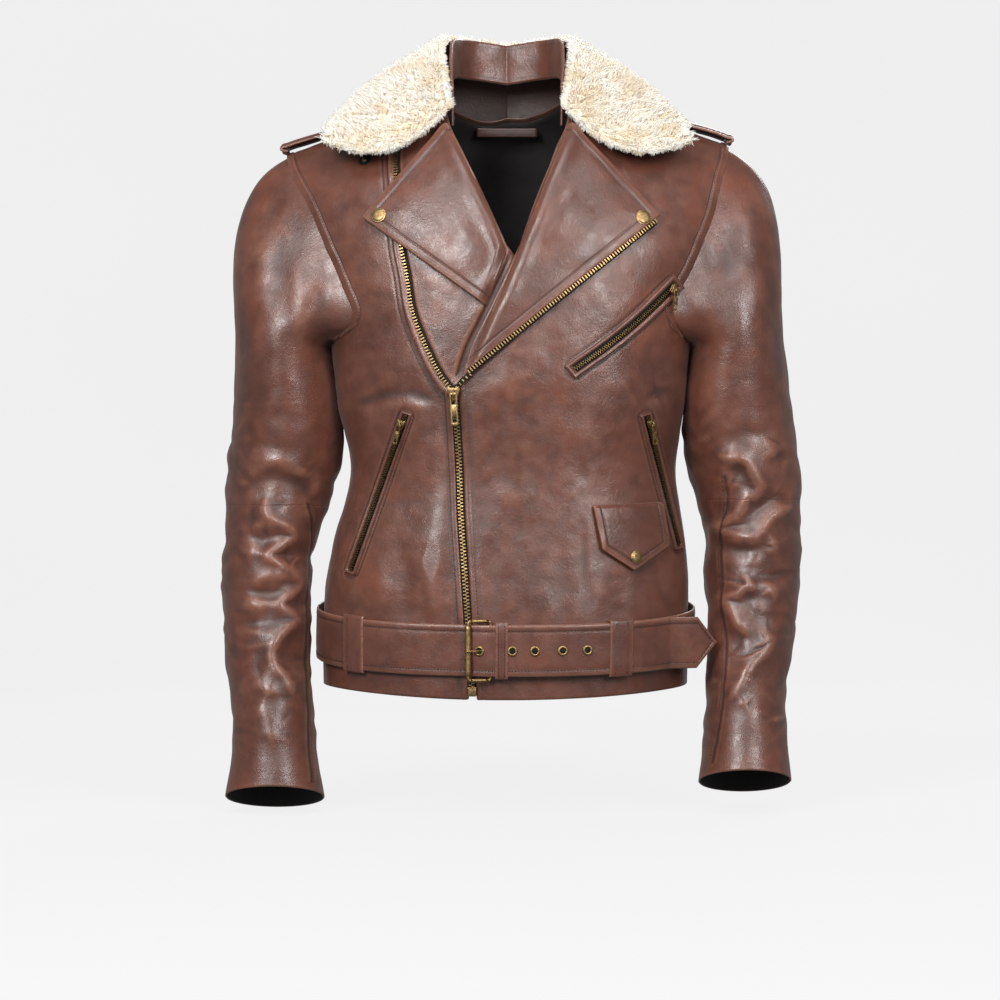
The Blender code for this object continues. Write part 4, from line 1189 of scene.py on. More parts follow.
def beside(line, gap):
    """A line moved sideways by gap, to its right as it climbs."""
    line = np.asarray(line, float)
    run = np.gradient(line, axis=0)
    run /= np.linalg.norm(run, axis=1, keepdims=True)
    return line + np.stack([run[:, 1], -run[:, 0]], -1) * gap


def armhole_row(edge, inset):
    z = np.linspace(476, 650, 90)
    return beside(np.stack([edge(z), z], -1), inset)


def pocket_border(name, out):
    """A closed rectangle round a pocket, out from its slit."""
    _, _, _, half = POCKETS[name]
    t = np.linspace(-0.02, 1.02, 50)
    middle = pocket_path(name, t)
    right, left = beside(middle, half + out), beside(middle, -half - out)
    return np.concatenate([right, left[::-1], right[:1]])


left_rows = [beside(CLOSED_ZIP[2:], ZIP_HALF_GAP + 5.5), armhole_row(LEFT_ARMHOLE, -7.0),
             pocket_border("chest", 2.6), pocket_border("hand_left", 2.6)]
right_rows = [beside(CLOSED_ZIP[2:], -ZIP_HALF_GAP - 5.5), armhole_row(RIGHT_ARMHOLE, 7.0),
              beside(OPEN_ZIP, -7.4), beside(OPEN_ZIP, -12.5), pocket_border("hand_right", 2.6)]
front_panel("front_left_leather", "front_left_panel", left_front_edge, LEFT_ARMHOLE, left_rows, 190)
front_panel("front_right_leather", "front_right_panel", RIGHT_ARMHOLE, right_front_edge, right_rows,
            180, True)


def yoke_height(x):
    middle, dip = YOKE
    return middle - dip * (x / 180) ** 2


def back_relief(x, z, y):
    flat = np.stack([x, y, z], -1)
    soft = 2.2 * noise(flat, 95, 11) + 1.0 * noise(flat, 38, 12) + 0.3 * noise(flat, 15, 13)
    soft += 1.8 * noise(np.stack([x * 0.8, y, z * 0.3], -1), 30, 14) * ease((300 - z) / 120)
    soft *= 1 - 0.6 * ease((205 - z) / 25)
    yoke = np.abs(z - yoke_height(x))
    return soft - 0.9 * np.exp(-(yoke / 1.0) ** 2) + 0.5 * np.exp(-((yoke - 4) / 2.5) ** 2)


def make_back():
    first, second = side_edge(1, ARMHOLE_BACK), side_edge(-1, ARMHOLE_BACK)
    u, v = np.meshgrid(np.linspace(0, 1, 260), np.linspace(0, 1, 270))
    phi, z = panel(first, second, True, u, v)
    base, normals = body_at(phi, z), body_normal(phi, z)
    height = back_relief(base[..., 0], base[..., 2], base[..., 1])
    points = base + normals * height[..., None]
    edges = np.minimum(np.linalg.norm(points - points[:, :1], axis=-1),
                       np.linalg.norm(points - points[:, -1:], axis=-1))
    seam = np.abs(base[..., 2] - yoke_height(base[..., 0]))
    piece = Piece()
    # Painted shade in the sunk yoke seam; the leather at and beside it is worn paler.
    shell(piece, points, normals, LEATHER, (0, 1), dark_and_shade=0.7 * np.exp(-(seam / 1.0) ** 2),
          wear=0.5 * edge_wear(edges) + 0.4 * edge_wear(seam - 2), normals=normals)
    for offset in (3.0, -3.0):
        x = np.linspace(-168, 168, 160)
        z = yoke_height(x) + offset
        phi = phi_at(x, z, True)
        y = body_at(phi, z)[..., 1]
        stitches(piece, body(phi, z, back_relief(x, z, y) + STITCH_LIFT), body_normal(phi, z), 2)
    piece.make("back_leather", LEATHER_SET, "root", "back_panel")


make_back()


def make_lining(name, first, second, back, columns):
    u, v = np.meshgrid(np.linspace(0, 1, columns), np.linspace(0, 1, 90))
    phi, z = panel(first, second, back, u, v)
    base, normals = body_at(phi, z), body_normal(phi, z)
    depth = -LINING_DEPTH + 1.2 * noise(base, 34, 21) + 0.5 * noise(base, 12, 22)
    points = base + normals * depth[..., None]
    piece = Piece()
    shell(piece, points, normals, 0.8, normals=normals)
    piece.make(name + "_satin", [LINING], "root", name)


make_lining("lining_front_left", left_front_edge, LEFT_ARMHOLE, False, 70)
make_lining("lining_front_right", RIGHT_ARMHOLE, right_front_edge, False, 70)
make_lining("lining_back", side_edge(1, ARMHOLE_BACK), side_edge(-1, ARMHOLE_BACK), True, 100)


# Lapels ---------------------------------------------------------------------------------


def lapel_height(corners, x, z):
    """Lift of a lapel's outer face, and how worn and how shaded it is."""
    neck, tip, foot, roll = [np.array(corner, float) for corner in corners]
    top, _ = distance_to([neck, tip], x, z)
    low, _ = distance_to([tip, foot], x, z)
    fold, _ = distance_to(smooth_line([neck, roll, foot], 10), x, z)
    flat = flat_spot(x, z)
    free = np.minimum(top, low)
    lift = LAPEL_LIFT + LAPEL_THICK - 1.6 * ease((30 - free) / 30)
    soft = folds(LAPEL_FOLDS, x, z) + 1.5 * noise(flat, 62, 31) + 0.6 * noise(flat, 27, 32)
    lift += soft * ease(free / 14) * ease(fold / 12)
    lift += 1.5 * np.exp(-((fold - 9) / 7) ** 2)
    lift += band(free, LAPEL_STITCH, 0.7)
    radius = 6.0
    curl = np.clip((radius - fold) / radius, 0, 1)
    lift -= radius * (1 - np.sqrt(1 - curl ** 2 * 0.92))
    if tip[0] < 0:
        tail_end, _ = distance_to([roll, foot], x, z)
        lift -= 3.2 * ease((9 - tail_end) / 9)
    # Painted shade along the sunk stitch groove.
    seam = np.exp(-((free - LAPEL_STITCH) / 0.9) ** 2)
    wear = 0.75 * edge_wear(free, 1.8) + 0.35 * edge_wear(fold - 1.5, 3.0)
    wear = wear + 0.12 * edge_wear(free - 3.5, 3)
    return lift, wear, 0.55 * seam


def make_lapel(word, side, corners):
    u, v = np.meshgrid(np.linspace(0, 1, 130), np.linspace(0, 1, 120))
    neck, tip, foot, roll = [np.array(corner, float) for corner in corners]
    u1, v1 = u[..., None], v[..., None]
    spot = lerp(lerp(neck, tip, u1), lerp(roll, foot, u1), v1)
    bulge = np.array((side * -1.0, 0.0)) * 2.5 * (1 - u1) * np.sin(math.pi * v1)
    spot = spot + bulge
    x, z = spot[..., 0], spot[..., 1]
    lift, wear, dark_and_shade = lapel_height(corners, x, z)
    normals = front_normal(x, z)
    points = front(x, z, lift)
    piece = Piece()
    shell(piece, points, normals, LAPEL_THICK, (0, 0), wear=wear, dark_and_shade=dark_and_shade, normals=normals)
    run_top = (tip - neck) / np.linalg.norm(tip - neck)
    run_low = (foot - tip) / np.linalg.norm(foot - tip)
    inner_top = np.array((run_top[1], -run_top[0])) * side
    inner_low = np.array((run_low[1], -run_low[0])) * side
    gap = LAPEL_STITCH
    corner = tip + (inner_top + inner_low) * gap / (1 + inner_top @ inner_low)
    path = np.concatenate([np.linspace(neck + inner_top * gap + run_top * 3, corner, 60),
                           np.linspace(corner, foot + inner_low * gap - run_low * 10, 80)[1:]])
    lift, _, _ = lapel_height(corners, path[:, 0], path[:, 1])
    stitches(piece, front(path[:, 0], path[:, 1], lift + STITCH_LIFT),
             front_normal(path[:, 0], path[:, 1]), 2)
    piece.make(f"lapel_{word}_leather", LEATHER_SET, f"lapel_{word}_body", f"lapel_{word}")
    inward = (neck + foot - 2 * tip) / np.linalg.norm(neck + foot - 2 * tip)
    x, z = tip + inward * 16
    lift, _, _ = lapel_height(corners, np.array([x]), np.array([z]))
    cap = Piece()
    profile = [(0, 1.75), (3.0, 1.72), (5.4, 1.6), (6.1, 1.3), (6.4, 0.85), (6.8, 0.8), (7.4, 0.85),
               (7.7, 0.5), (7.6, 0.0), (7.2, -0.3), (0, -0.3)]
    cap.add(*placed(lathe(profile), front(x, z, lift[0] + 0.25), front_normal(x, z)))
    cap.make(f"lapel_{word}_snap", [BRASS], f"lapel_{word}_body", f"lapel_snap_{word}")


make_lapel("left", 1, LAPEL_LEFT)
make_lapel("right", -1, LAPEL_RIGHT)


# Sleeves --------------------------------------------------------------------------------

SEAMS = {
    1: [(214, 329), (217, 305), (214, 280), (211, 254), (213, 220), (213, 198), (214, 159),
        (211, 109), (200, 50)],
    -1: [(-196, 302), (-194, 275), (-198, 230), (-199, 202), (-198, 147), (-195, 70), (-191, 30)],
}
SPLIT = 0.508


def sleeve_relief(side, points, normals, share):
    x, z = points[..., 0], points[..., 2]
    table = LEFT_SLEEVE_FOLDS if side > 0 else RIGHT_SLEEVE_FOLDS
    ahead = ease((-normals[..., 1] - 0.02) / 0.35)
    height = 1.5 * folds([(line, width * 1.9, rise) for line, width, rise in table], x, z) * ahead
    busy = ease((430 - z) / 70) * ease((z - 40) / 60)
    warp = points + 14 * np.stack([noise(points, 40, seed) for seed in (41, 42, 43)], -1)
    rings = noise(warp * np.array((0.42, 0.42, 1.0)), 19, 44 + side)
    height += (1 - 0.8 * ahead) * busy * 3.0 * rings
    height += ahead * busy * 0.8 * noise(warp * np.array((0.6, 0.6, 1.0)), 15, 46)
    height += 1.6 * noise(points, 70, 47) + 0.5 * noise(points, 24, 48)
    high = ease((z - 400) / 60)
    height += high * 1.5 * noise(points * np.array((1.0, 1.0, 0.3)), 24, 49)
    height *= 0.15 + 0.85 * ease(share / 0.06)
    height *= 1 - 0.55 * ease((share - 0.955) / 0.04)
    seam, _ = distance_to(smooth_line(SEAMS[side]), x, z)
    line = np.exp(-(seam / 1.0) ** 2) * ease(-normals[..., 1] / 0.2)
    return height - 0.8 * line, line


def make_sleeve(side, word):
    turns, steps = 190, 440
    theta = -side * np.arange(turns) * math.tau / turns
    rows = np.concatenate([np.linspace(0, SPLIT, 230), np.linspace(SPLIT, 1, steps - 229)[1:]])
    theta, share = np.meshgrid(theta, rows)
    base = sleeve(side, theta, share)
    axis = base.mean(1, keepdims=True)
    normals = grid_normals(base, base - axis, True)
    height, line = sleeve_relief(side, base, normals, share)
    points = base + normals * height[..., None]
    fine = grid_normals(points, base - axis, True)
    # Ridges are worn paler; creases and the sunk seam line get painted shade.
    rough = height - 0.25 * (np.roll(height, 3, 0) + np.roll(height, -3, 0)
                             + np.roll(height, 3, 1) + np.roll(height, -3, 1))
    rough[:4], rough[-4:] = 0, 0
    wear = np.clip(rough * 2.0, 0, 0.75) + 0.35 * edge_wear((1 - share) * 560, 2.5)
    dark_and_shade = np.clip(-rough * 1.6, 0, 0.6) + 0.6 * line
    cut = int(np.argmin(np.abs(rows - SPLIT)))
    seam = smooth_line(SEAMS[side], 12)
    for half, span in (("upper", slice(0, cut + 1)), ("lower", slice(cut, len(rows)))):
        piece = Piece()
        shell(piece, points[span], fine[span], LEATHER, (0, 3 if half == "lower" else 1), True,
              wear[span], dark_and_shade[span], fine[span])
        for k in (-2, -1) if half == "upper" else (-4, -3):
            piece.smooth[k][:] = False
        front_side = np.cos(np.arctan2(np.sin(theta[0]), np.cos(theta[0])) - math.pi / 2) > 0
        grid = points[span][:, front_side]
        way = fine[span][:, front_side]
        low, high = grid[..., 2].min(), grid[..., 2].max()
        chosen = [spot for spot in beside(seam, 2.4 * side) if low + 4 < spot[1] < high - 4]
        if len(chosen) > 8:
            flatgrid, flatway = grid.reshape(-1, 3), way.reshape(-1, 3)
            spots, ups = [], []
            for x, z in chosen:
                gap = np.hypot(flatgrid[:, 0] - x, flatgrid[:, 2] - z)
                near = np.argsort(gap)[:4]
                weight = 1 / (gap[near] + 0.05)
                weight /= weight.sum()
                spots.append((flatgrid[near] * weight[:, None]).sum(0) + flatway[near[0]] * 0.1)
                ups.append(flatway[near[0]])
            stitches(piece, np.array(spots), np.array(ups), 2)
        made = piece.make(f"sleeve_{half}_{word}_leather", LEATHER_SET)
        if half == "upper":
            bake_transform(made)
        else:
            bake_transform(made)
        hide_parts(f"sleeve_{half}_{word}")


make_sleeve(1, "left")
make_sleeve(-1, "right")


# Epaulettes -----------------------------------------------------------------------------


def make_epaulette(side, word):
    path = [(0, 219, 4), (0.1, 226, 7), (0.2, 222, 11), (0.5, 190, 10), (0.8, 168, 7), (1, 152, 4)]
    u, v = np.meshgrid(np.linspace(0, 1, 120), np.linspace(0, 1, 50))

    def strap(u, v, extra=0.0):
        x = side * along(path, u, 1)
        edge = np.minimum(v, 1 - v) * 36
        puff = 0.7 * ease((edge - 4) / 3) - 0.5 * np.exp(-((edge - 4.2) / 0.8) ** 2)
        height = along(path, u, 2) - (v - 0.5) ** 2 * 16 + puff + extra
        x = x + side * 1.2 * noise(np.stack([u * 40, v * 36, u * 0], -1), 18, 52)
        return stack(x, RIDGE_Y + (v - 0.5) * 36,
                     ridge(np.minimum(np.abs(x), SHOULDER_HALF_WIDTH) * side) + height)

    points = strap(u, v)
    points[..., 2] += 0.7 * noise(points, 22, 51)
    edge = np.minimum(np.minimum(v, 1 - v) * 36, 99)
    piece = Piece()
    # Painted shade along the sunk stitch groove 4.2 mm in from each edge; the edges are worn paler.
    shell(piece, points, np.array((0, 0, 1.0)), 2.2, (0, 0), wear=0.6 * edge_wear(edge, 1.5),
          dark_and_shade=0.5 * np.exp(-((edge - 4.2) / 0.8) ** 2))
    for v0 in (4.2 / 36, 1 - 4.2 / 36):
        along_strap = np.linspace(0.06, 0.98, 60)
        spots = strap(along_strap, np.full(60, v0), 0.3)
        spots[..., 2] += 0.7 * noise(spots, 22, 51)
        rise = unit(np.cross(np.gradient(spots, axis=0), np.array((0, 1.0, 0))))
        rise *= np.sign(rise[:, 2].sum())
        stitches(piece, spots, rise, 2)
    piece.make(f"epaulette_{word}_leather", LEATHER_SET, "root", f"epaulette_{word}")


make_epaulette(1, "left")
make_epaulette(-1, "right")


# Collar ---------------------------------------------------------------------------------


def fur(piece, roots, out, seed, length, radius, lean):
    """Curly pile: tapering locks that share a direction with their neighbours."""
    rng = np.random.default_rng(seed)
    curl = np.stack([noise(roots, 9, seed) for seed in (61, 62, 63)], -1)
    small = np.stack([noise(roots, 3.5, seed) for seed in (64, 65, 66)], -1)
    grow = unit(out + 0.38 * curl + 0.4 * small + lean + rng.normal(0, 0.14, roots.shape))
    bend = unit(np.cross(grow, unit(curl + 0.01))) * 0.4 + lean * 0.8 + rng.normal(0, 0.16, roots.shape)
    size = (length * rng.uniform(0.75, 1.15, len(roots)))[:, None]
    across = unit(np.cross(grow, rng.normal(0, 1, roots.shape)))
    other = np.cross(grow, across)
    rings, shades = [], []
    # Painted shade: each lock's shade value is full at its root and falls to none at its tip.
    for t, width in ((0.0, 1.0), (0.45, 1.05), (0.82, 0.6)):
        middle = roots + grow * size * t + bend * size * t * t * 0.6
        for k in range(3):
            turn = math.tau * k / 3
            rings.append(middle + (across * math.cos(turn) + other * math.sin(turn)) * radius * width)
            shades.append(np.full(len(roots), 1.0 - 1.15 * t))
    rings.append(roots + grow * size * 1.02 + bend * size * 0.62)
    shades.append(np.zeros(len(roots)))
    verts = np.stack(rings, 1)
    shade = np.clip(np.stack(shades, 1), 0, 1)
    step = np.arange(len(roots))[:, None, None] * 10
    quads = np.array([(r * 3 + k, r * 3 + (k + 1) % 3, r * 3 + 3 + (k + 1) % 3, r * 3 + 3 + k)
                      for r in range(2) for k in range(3)])
    tips = np.array([(6, 7, 9), (7, 8, 9), (8, 6, 9), (2, 1, 0)])
    faces = [(quads[None] + step).reshape(-1, 4), (tips[None] + step).reshape(-1, 3)]
    piece.add(verts.reshape(-1, 3), faces, 0, 0.0, shade.ravel())


def make_fur(side, word, part, low, high, count, seed):
    rng = np.random.default_rng(seed)
    base = collar_point(side, *np.meshgrid(np.linspace(low, high, 40), np.linspace(0, 1, 30)))
    normals = grid_normals(base, base - COLLAR_MIDDLE)
    piece = Piece()
    # The skin under the pile gets painted shade all over.
    shell(piece, base - normals * 5.2, normals, 2.6, (0, 1), dark_and_shade=0.8, normals=normals)
    pick_s = low + (high - low) * rng.random(count)
    pick_r = rng.random(count)
    roots = collar_point(side, pick_s, pick_r)
    step = 0.004
    run = (collar_point(side, np.minimum(pick_s + step, 1), pick_r)
           - collar_point(side, np.maximum(pick_s - step, 0), pick_r))
    fall = (collar_point(side, pick_s, np.minimum(pick_r + step, 1))
            - collar_point(side, pick_s, np.maximum(pick_r - step, 0)))
    out = unit(np.cross(run, fall))
    out *= np.sign((out * (roots - COLLAR_MIDDLE)).sum() or 1)
    fall, run = unit(fall), unit(run)
    rim = ease((pick_r - 0.86) / 0.14)[:, None]
    crest = ease((0.1 - pick_r) / 0.1)[:, None]
    front_end = ease((pick_s - 0.94) / 0.06)[:, None] if high >= 1 else 0
    grow = (out * (1 - 0.55 * rim - 0.3 * crest) + fall * (0.25 + 0.55 * rim - 0.9 * crest)
            + run * front_end * 0.8)
    fur(piece, roots - out * 6.0, unit(grow), seed + 1, 8.2, 0.62, fall * 0.12)
    edge_count = count // 7
    s = low + (high - low) * rng.random(edge_count)
    for r0, beyond in ((1.0, 0.93), (0.0, 0.1)):
        spots = collar_point(side, s, np.full(edge_count, r0))
        down = unit(spots - collar_point(side, s, np.full(edge_count, beyond)))
        depth = rng.uniform(3.0, 7.5, edge_count)[:, None]
        normal = unit(spots - COLLAR_MIDDLE)
        fur(piece, spots - normal * depth - down * 2.5, down, seed + 5 + int(r0), 6.2, 0.6, down * 0.1)
    if high >= 1:
        r = rng.random(edge_count)
        end = np.full(edge_count, 1.0)
        spots = collar_point(side, end, r)
        ahead = unit(spots - collar_point(side, np.full(edge_count, 0.97), r))
        normal = unit(np.cross(ahead, collar_point(side, end, np.minimum(r + 0.01, 1)) - spots))
        normal *= np.sign((normal * (spots - COLLAR_MIDDLE)).sum())
        depth = rng.uniform(2.5, 7.5, edge_count)[:, None]
        fur(piece, spots - normal * depth - ahead * 2.5, ahead, seed + 9, 6.0, 0.6, ahead * 0.1)
    made = piece.make(f"collar_{part}_{word}_fur", [WOOL, LEATHER_DARK])
    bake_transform(made)
    return made


for side, word in ((1, "left"), (-1, "right")):
    wing = make_fur(side, word, "wing", 0.42, 1.0, 8200, 100 + side)
    behind = make_fur(side, word, "back", 0.0, 0.425, 6200, 200 + side)
    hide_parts(f"collar_fur_{word}")
    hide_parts("collar_fur_back")


def make_stand():
    u, v = np.meshgrid(np.linspace(0, 1, 160), np.linspace(0, 1, 30))
    s = (u - 0.5) * 2 * 0.86
    right, left = [collar_point(side, np.abs(s), s * 0) for side in (-1, 1)]
    fold = np.where((s > 0)[..., None], right, left)
    inward = unit(stack(fold[..., 0], fold[..., 1] - RIDGE_Y, 0)) * (FUR + 3.5)
    points = fold - inward - stack(0, 0, 4 + (1 - v) * 38)
    length = np.linalg.norm(inward, axis=-1, keepdims=True)
    points += inward / length * (0.8 * noise(points, 22, 71))[..., None]
    piece = Piece()
    edge = np.minimum(v, 1 - v) * 38
    shell(piece, points, inward, 3.0, (0, 0), wear=0.5 * edge_wear(edge, 1.5),
          dark_and_shade=0.4 * np.exp(-((edge - 4) / 0.8) ** 2))
    piece.make("collar_stand_leather", LEATHER_SET, "root", "collar_stand")


make_stand()


# Zips -----------------------------------------------------------------------------------


def tape(piece, points, normals, side_axis, near, far):
    """A woven strip beside a chain, from near to far off its middle."""
    share = np.linspace(near, far, 5)
    grid = points[:, None] + side_axis[:, None] * share[None, :, None]
    ways = np.broadcast_to(normals[:, None], grid.shape)
    shell(piece, grid, ways, 0.8, normals=ways)


def teeth(piece, path, normals, pitch, aside, lift, offset=0.0, size=(1.75, 3.6, 2.3)):
    spots, ups = resample(path, pitch, normals)
    run, side, up = frames(spots, ups)
    spots = spots + run * offset + side * aside + up * lift
    verts, faces = brick(size, 0.82)
    copies(piece, verts, faces, spots, run, side, up, 1, False)


def front_line(line, lift):
    line = np.asarray(line, float)
    return front(line[:, 0], line[:, 1], lift), front_normal(line[:, 0], line[:, 1])


def dense(line, count=160):
    line = np.asarray(line, float)
    runs = np.concatenate([[0], np.cumsum(np.linalg.norm(np.diff(line, axis=0), axis=1))])
    at = np.linspace(0, runs[-1], count)
    return np.stack([np.interp(at, runs, line[:, i]) for i in range(2)], -1)


def make_main_zip():
    closed = Piece()
    z = np.linspace(124, 405, 160)
    line = np.stack([along(ZIP_LOWER, z), z], -1)
    points, normals = front_line(line, 0.3)
    _, side, _ = frames(points, normals)
    tape(closed, points, normals, side, -6.5, 6.5)
    for aside, offset in ((1.25, 0.0), (-1.25, 1.65)):
        teeth(closed, points, normals, 3.3, aside, 1.2, offset)
    meet = dense([(-50.8, 412), (-46.5, 417), (-41.5, 422.5), (-35.5, 427.5)], 12)
    points, normals = front_line(meet, 3.6)
    teeth(closed, points, normals, 3.3, -0.4, 1.0)
    _, side, _ = frames(points, normals)
    tape(closed, points, normals, side, -2.0, 2.4)
    closed.make("main_zip_closed", [TAPE, TEETH], "root", "main_zip_left")
    right = Piece()
    z = np.linspace(413, 650, 160)
    line = np.stack([along(ZIP_RIGHT_UPPER, z), z], -1)
    points, normals = front_line(line, 0.2)
    _, side, _ = frames(points, normals)
    side_sign = np.sign((side[:, 0]).sum())
    tape(right, points, normals, side * side_sign, -4.5, 4.6)
    teeth(right, points, normals, 3.1, 0.5 * side_sign, 1.4, size=OPEN_TOOTH)
    right.make("main_zip_right_half", [TAPE, TEETH], "root", "main_zip_right")
    upper = Piece()
    foot, tip = np.array(LAPEL_LEFT[2], float), np.array(LAPEL_LEFT[1], float)
    line = dense([foot + (tip - foot) * t + np.array((1.9, -2.3)) for t in (0.0, 0.972)], 160)
    points, normals = front_line(line, LAPEL_LIFT - 1.6)
    _, side, _ = frames(points, normals)
    side_sign = np.sign((side[:, 2]).sum())
    tape(upper, points, normals, side * side_sign, -2.6, 3.4)
    teeth(upper, points, normals, 3.1, 0.4 * side_sign, 1.6, size=OPEN_TOOTH)
    upper.make("main_zip_left_half", [TAPE, TEETH], "lapel_left_body", "main_zip_left_upper")
    box = Piece()
    x = along(ZIP_LOWER, BOX_HEIGHT)
    for size, radius, z in (((8.5, 9, 4), 0.9, BOX_HEIGHT), ((9.2, 1.6, 4.6), 0.5, BOX_HEIGHT + 3.6)):
        box.add(*placed(rounded_block(size, radius), front(x, z, 3.4), front_normal(x, z)))
    box.make("main_zip_stop_box", [BRASS], "root", "main_zip_box")


make_main_zip()


def round_oblong(half_width, top, bottom, corner):
    made = []
    right, left = half_width - corner, -half_width + corner
    for cx, cy, start in ((right, top - corner, 0), (left, top - corner, 90),
                          (left, bottom + corner, 180), (right, bottom + corner, 270)):
        for k in range(6):
            turn = math.radians(start + k * 18)
            made.append((cx + corner * math.cos(turn), cy + corner * math.sin(turn)))
    return made


def make_slider(name, x, z, upward, hang, width, length, pull_length, bodies):
    normal = front_normal(x, z)
    place = front(x, z, SLIDER_LIFT)
    head = Piece()
    waist = [(-width * 0.30, -length / 2), (width * 0.30, -length / 2), (width * 0.36, -length * 0.1),
             (width / 2, length * 0.22), (width / 2, length / 2 - 1.2), (width * 0.36, length / 2),
             (width * 0.1, length / 2 - 1.4), (-width * 0.1, length / 2 - 1.4),
             (-width * 0.36, length / 2), (-width / 2, length / 2 - 1.2), (-width / 2, length * 0.22), (-width * 0.36, -length * 0.1)]
    for height, thickness in ((0.7, 1.2), (3.3, 1.6)):
        verts, faces = flat_plate([waist], thickness, 0.3)
        head.add(*placed((verts + np.array((0, 0, height)), faces), place, normal, upward))
    verts, faces = rounded_block((width * 0.22, length * 0.3, 2.4), 0.3)
    head.add(*placed((verts + np.array((0, length * 0.28, 2.0)), faces), place, normal, upward))
    turn = np.linspace(0, math.pi, 14)
    bail = stack(0 * turn, np.cos(turn) * length * 0.30, 3.8 + np.sin(turn) * 2.2)
    head.add(*placed(wire(bail, 0.75, 10, up=(1, 0, 0)), place, normal, upward))
    head.make(f"{name}_slider_head", [BRASS], bodies[0], f"{name}_slider")
    half = width * 0.3
    pull = Piece()
    outer = round_oblong(half, 0.9, -pull_length, min(half * 0.6, 1.6))
    upper = round_oblong(half * 0.55, -1.3, -pull_length * 0.34, 0.7)
    lower = round_oblong(half * 0.5, -pull_length * 0.72, -pull_length * 0.91, 0.6)
    pivot = front(x, z, SLIDER_LIFT + PULL_LIFT)
    pull.add(*placed(flat_plate([outer, upper, lower], 1.5, 0.3), pivot, normal, hang))
    verts, faces = rounded_block((half * 1.1, pull_length * 0.26, 0.7), 0.25)
    pull.add(*placed((verts + np.array((0, -pull_length * 0.53, 0.75)), faces), pivot, normal, hang))
    pull.make(f"{name}_pull_tab", [BRASS], bodies[1], f"{name}_pull")


make_slider("main_zip", float(along(ZIP_LOWER, 409.0)), 409.0, (-0.05, 0, 1), (-0.05, 0, 1),
            12.5, 13, 31, ("main_slider", "main_pull"))


# Pockets --------------------------------------------------------------------------------


def make_pocket(name):
    low, high, _, half = POCKETS[name]
    tape_reach, lips = (5.2, 3.7) if name == "chest" else (4.2, 2.6)
    run = np.array(high, float) - np.array(low, float)
    long = np.linalg.norm(run)
    run /= long
    square = np.array((run[1], -run[0]))
    chain = Piece()
    line = pocket_path(name, np.linspace(0.0, 1.0, 120))
    points, normals = front_line(line, 0.6)
    _, side, _ = frames(points, normals)
    tape(chain, points, normals, side, -tape_reach, tape_reach)
    for aside, offset in ((0.95, 0.0), (-0.95, 1.25)):
        teeth(chain, points, normals, 2.5, aside, 1.2, offset, (1.35, 2.7, 1.9))
    # The pocket teeth take the darkened brass: painted shade in the slit.
    chain.make(f"{name}_chain", [TAPE, TEETH_SHADED], "root", f"{name}_zip")
    welt = Piece()
    reach = half + 0.6
    end = (long / 2 + half - 0.6) / long
    outline = [(0.5 + (1 - 2 * k) * end, 1) for k in np.linspace(0, 1, 60)]
    outline += [(0.5 - end, k) for k in np.linspace(0.8, -0.8, 7)]
    outline += [(0.5 - (1 - 2 * k) * end, -1) for k in np.linspace(0, 1, 60)]
    outline += [(0.5 + end, k) for k in np.linspace(-0.8, 0.8, 7)]
    widths = np.linspace(1, 0, 9)
    grid = []
    for t, aside in outline:
        row = []
        for w in widths:
            wide = lerp(lips, reach, w)
            extent = lerp((long / 2 + 1.8) / long, end, w)
            along_slit = 0.5 + (t - 0.5) / end * extent
            inside = float(np.clip(along_slit, 0, 1))
            spot = pocket_path(name, inside) + run * (along_slit - inside) * long
            row.append(spot + square * aside * wide)
        grid.append(row)
    grid = np.array(grid)
    height = np.array([0.9 + 1.9 * math.sin(math.pi * (0.12 + 0.88 * (1 - w))) ** 0.8 for w in widths])
    height[0] = 0.6
    x, z = grid[..., 0], grid[..., 1]
    normals = front_normal(x, z)
    points = front(x, z, height[None, :] + 0.25 * noise(flat_spot(x, z), 9, 81))
    points, normals = points.transpose(1, 0, 2), normals.transpose(1, 0, 2)
    worn = 0.55 * np.exp(-((np.arange(9) - 4.5) / 2.2) ** 2)
    wear = np.broadcast_to(worn[:, None], points.shape[:2])
    shell(welt, points, normals, 1.3, (0, 0), True, wear=wear, normals=normals)
    welt.make(f"{name}_welt_leather", [LEATHER_DARK], "root", f"{name}_welt")
    x, z = pocket_path(name, 0.955)
    upward = (run[0], 0, run[1])
    hang = (0, 0, 1) if name == "chest" else upward
    make_slider(name, float(x), float(z), upward, hang, 8.5, 9, 20,
                (f"{name}_slider_body", f"{name}_pull_body"))


for pocket in POCKETS:
    make_pocket(pocket)


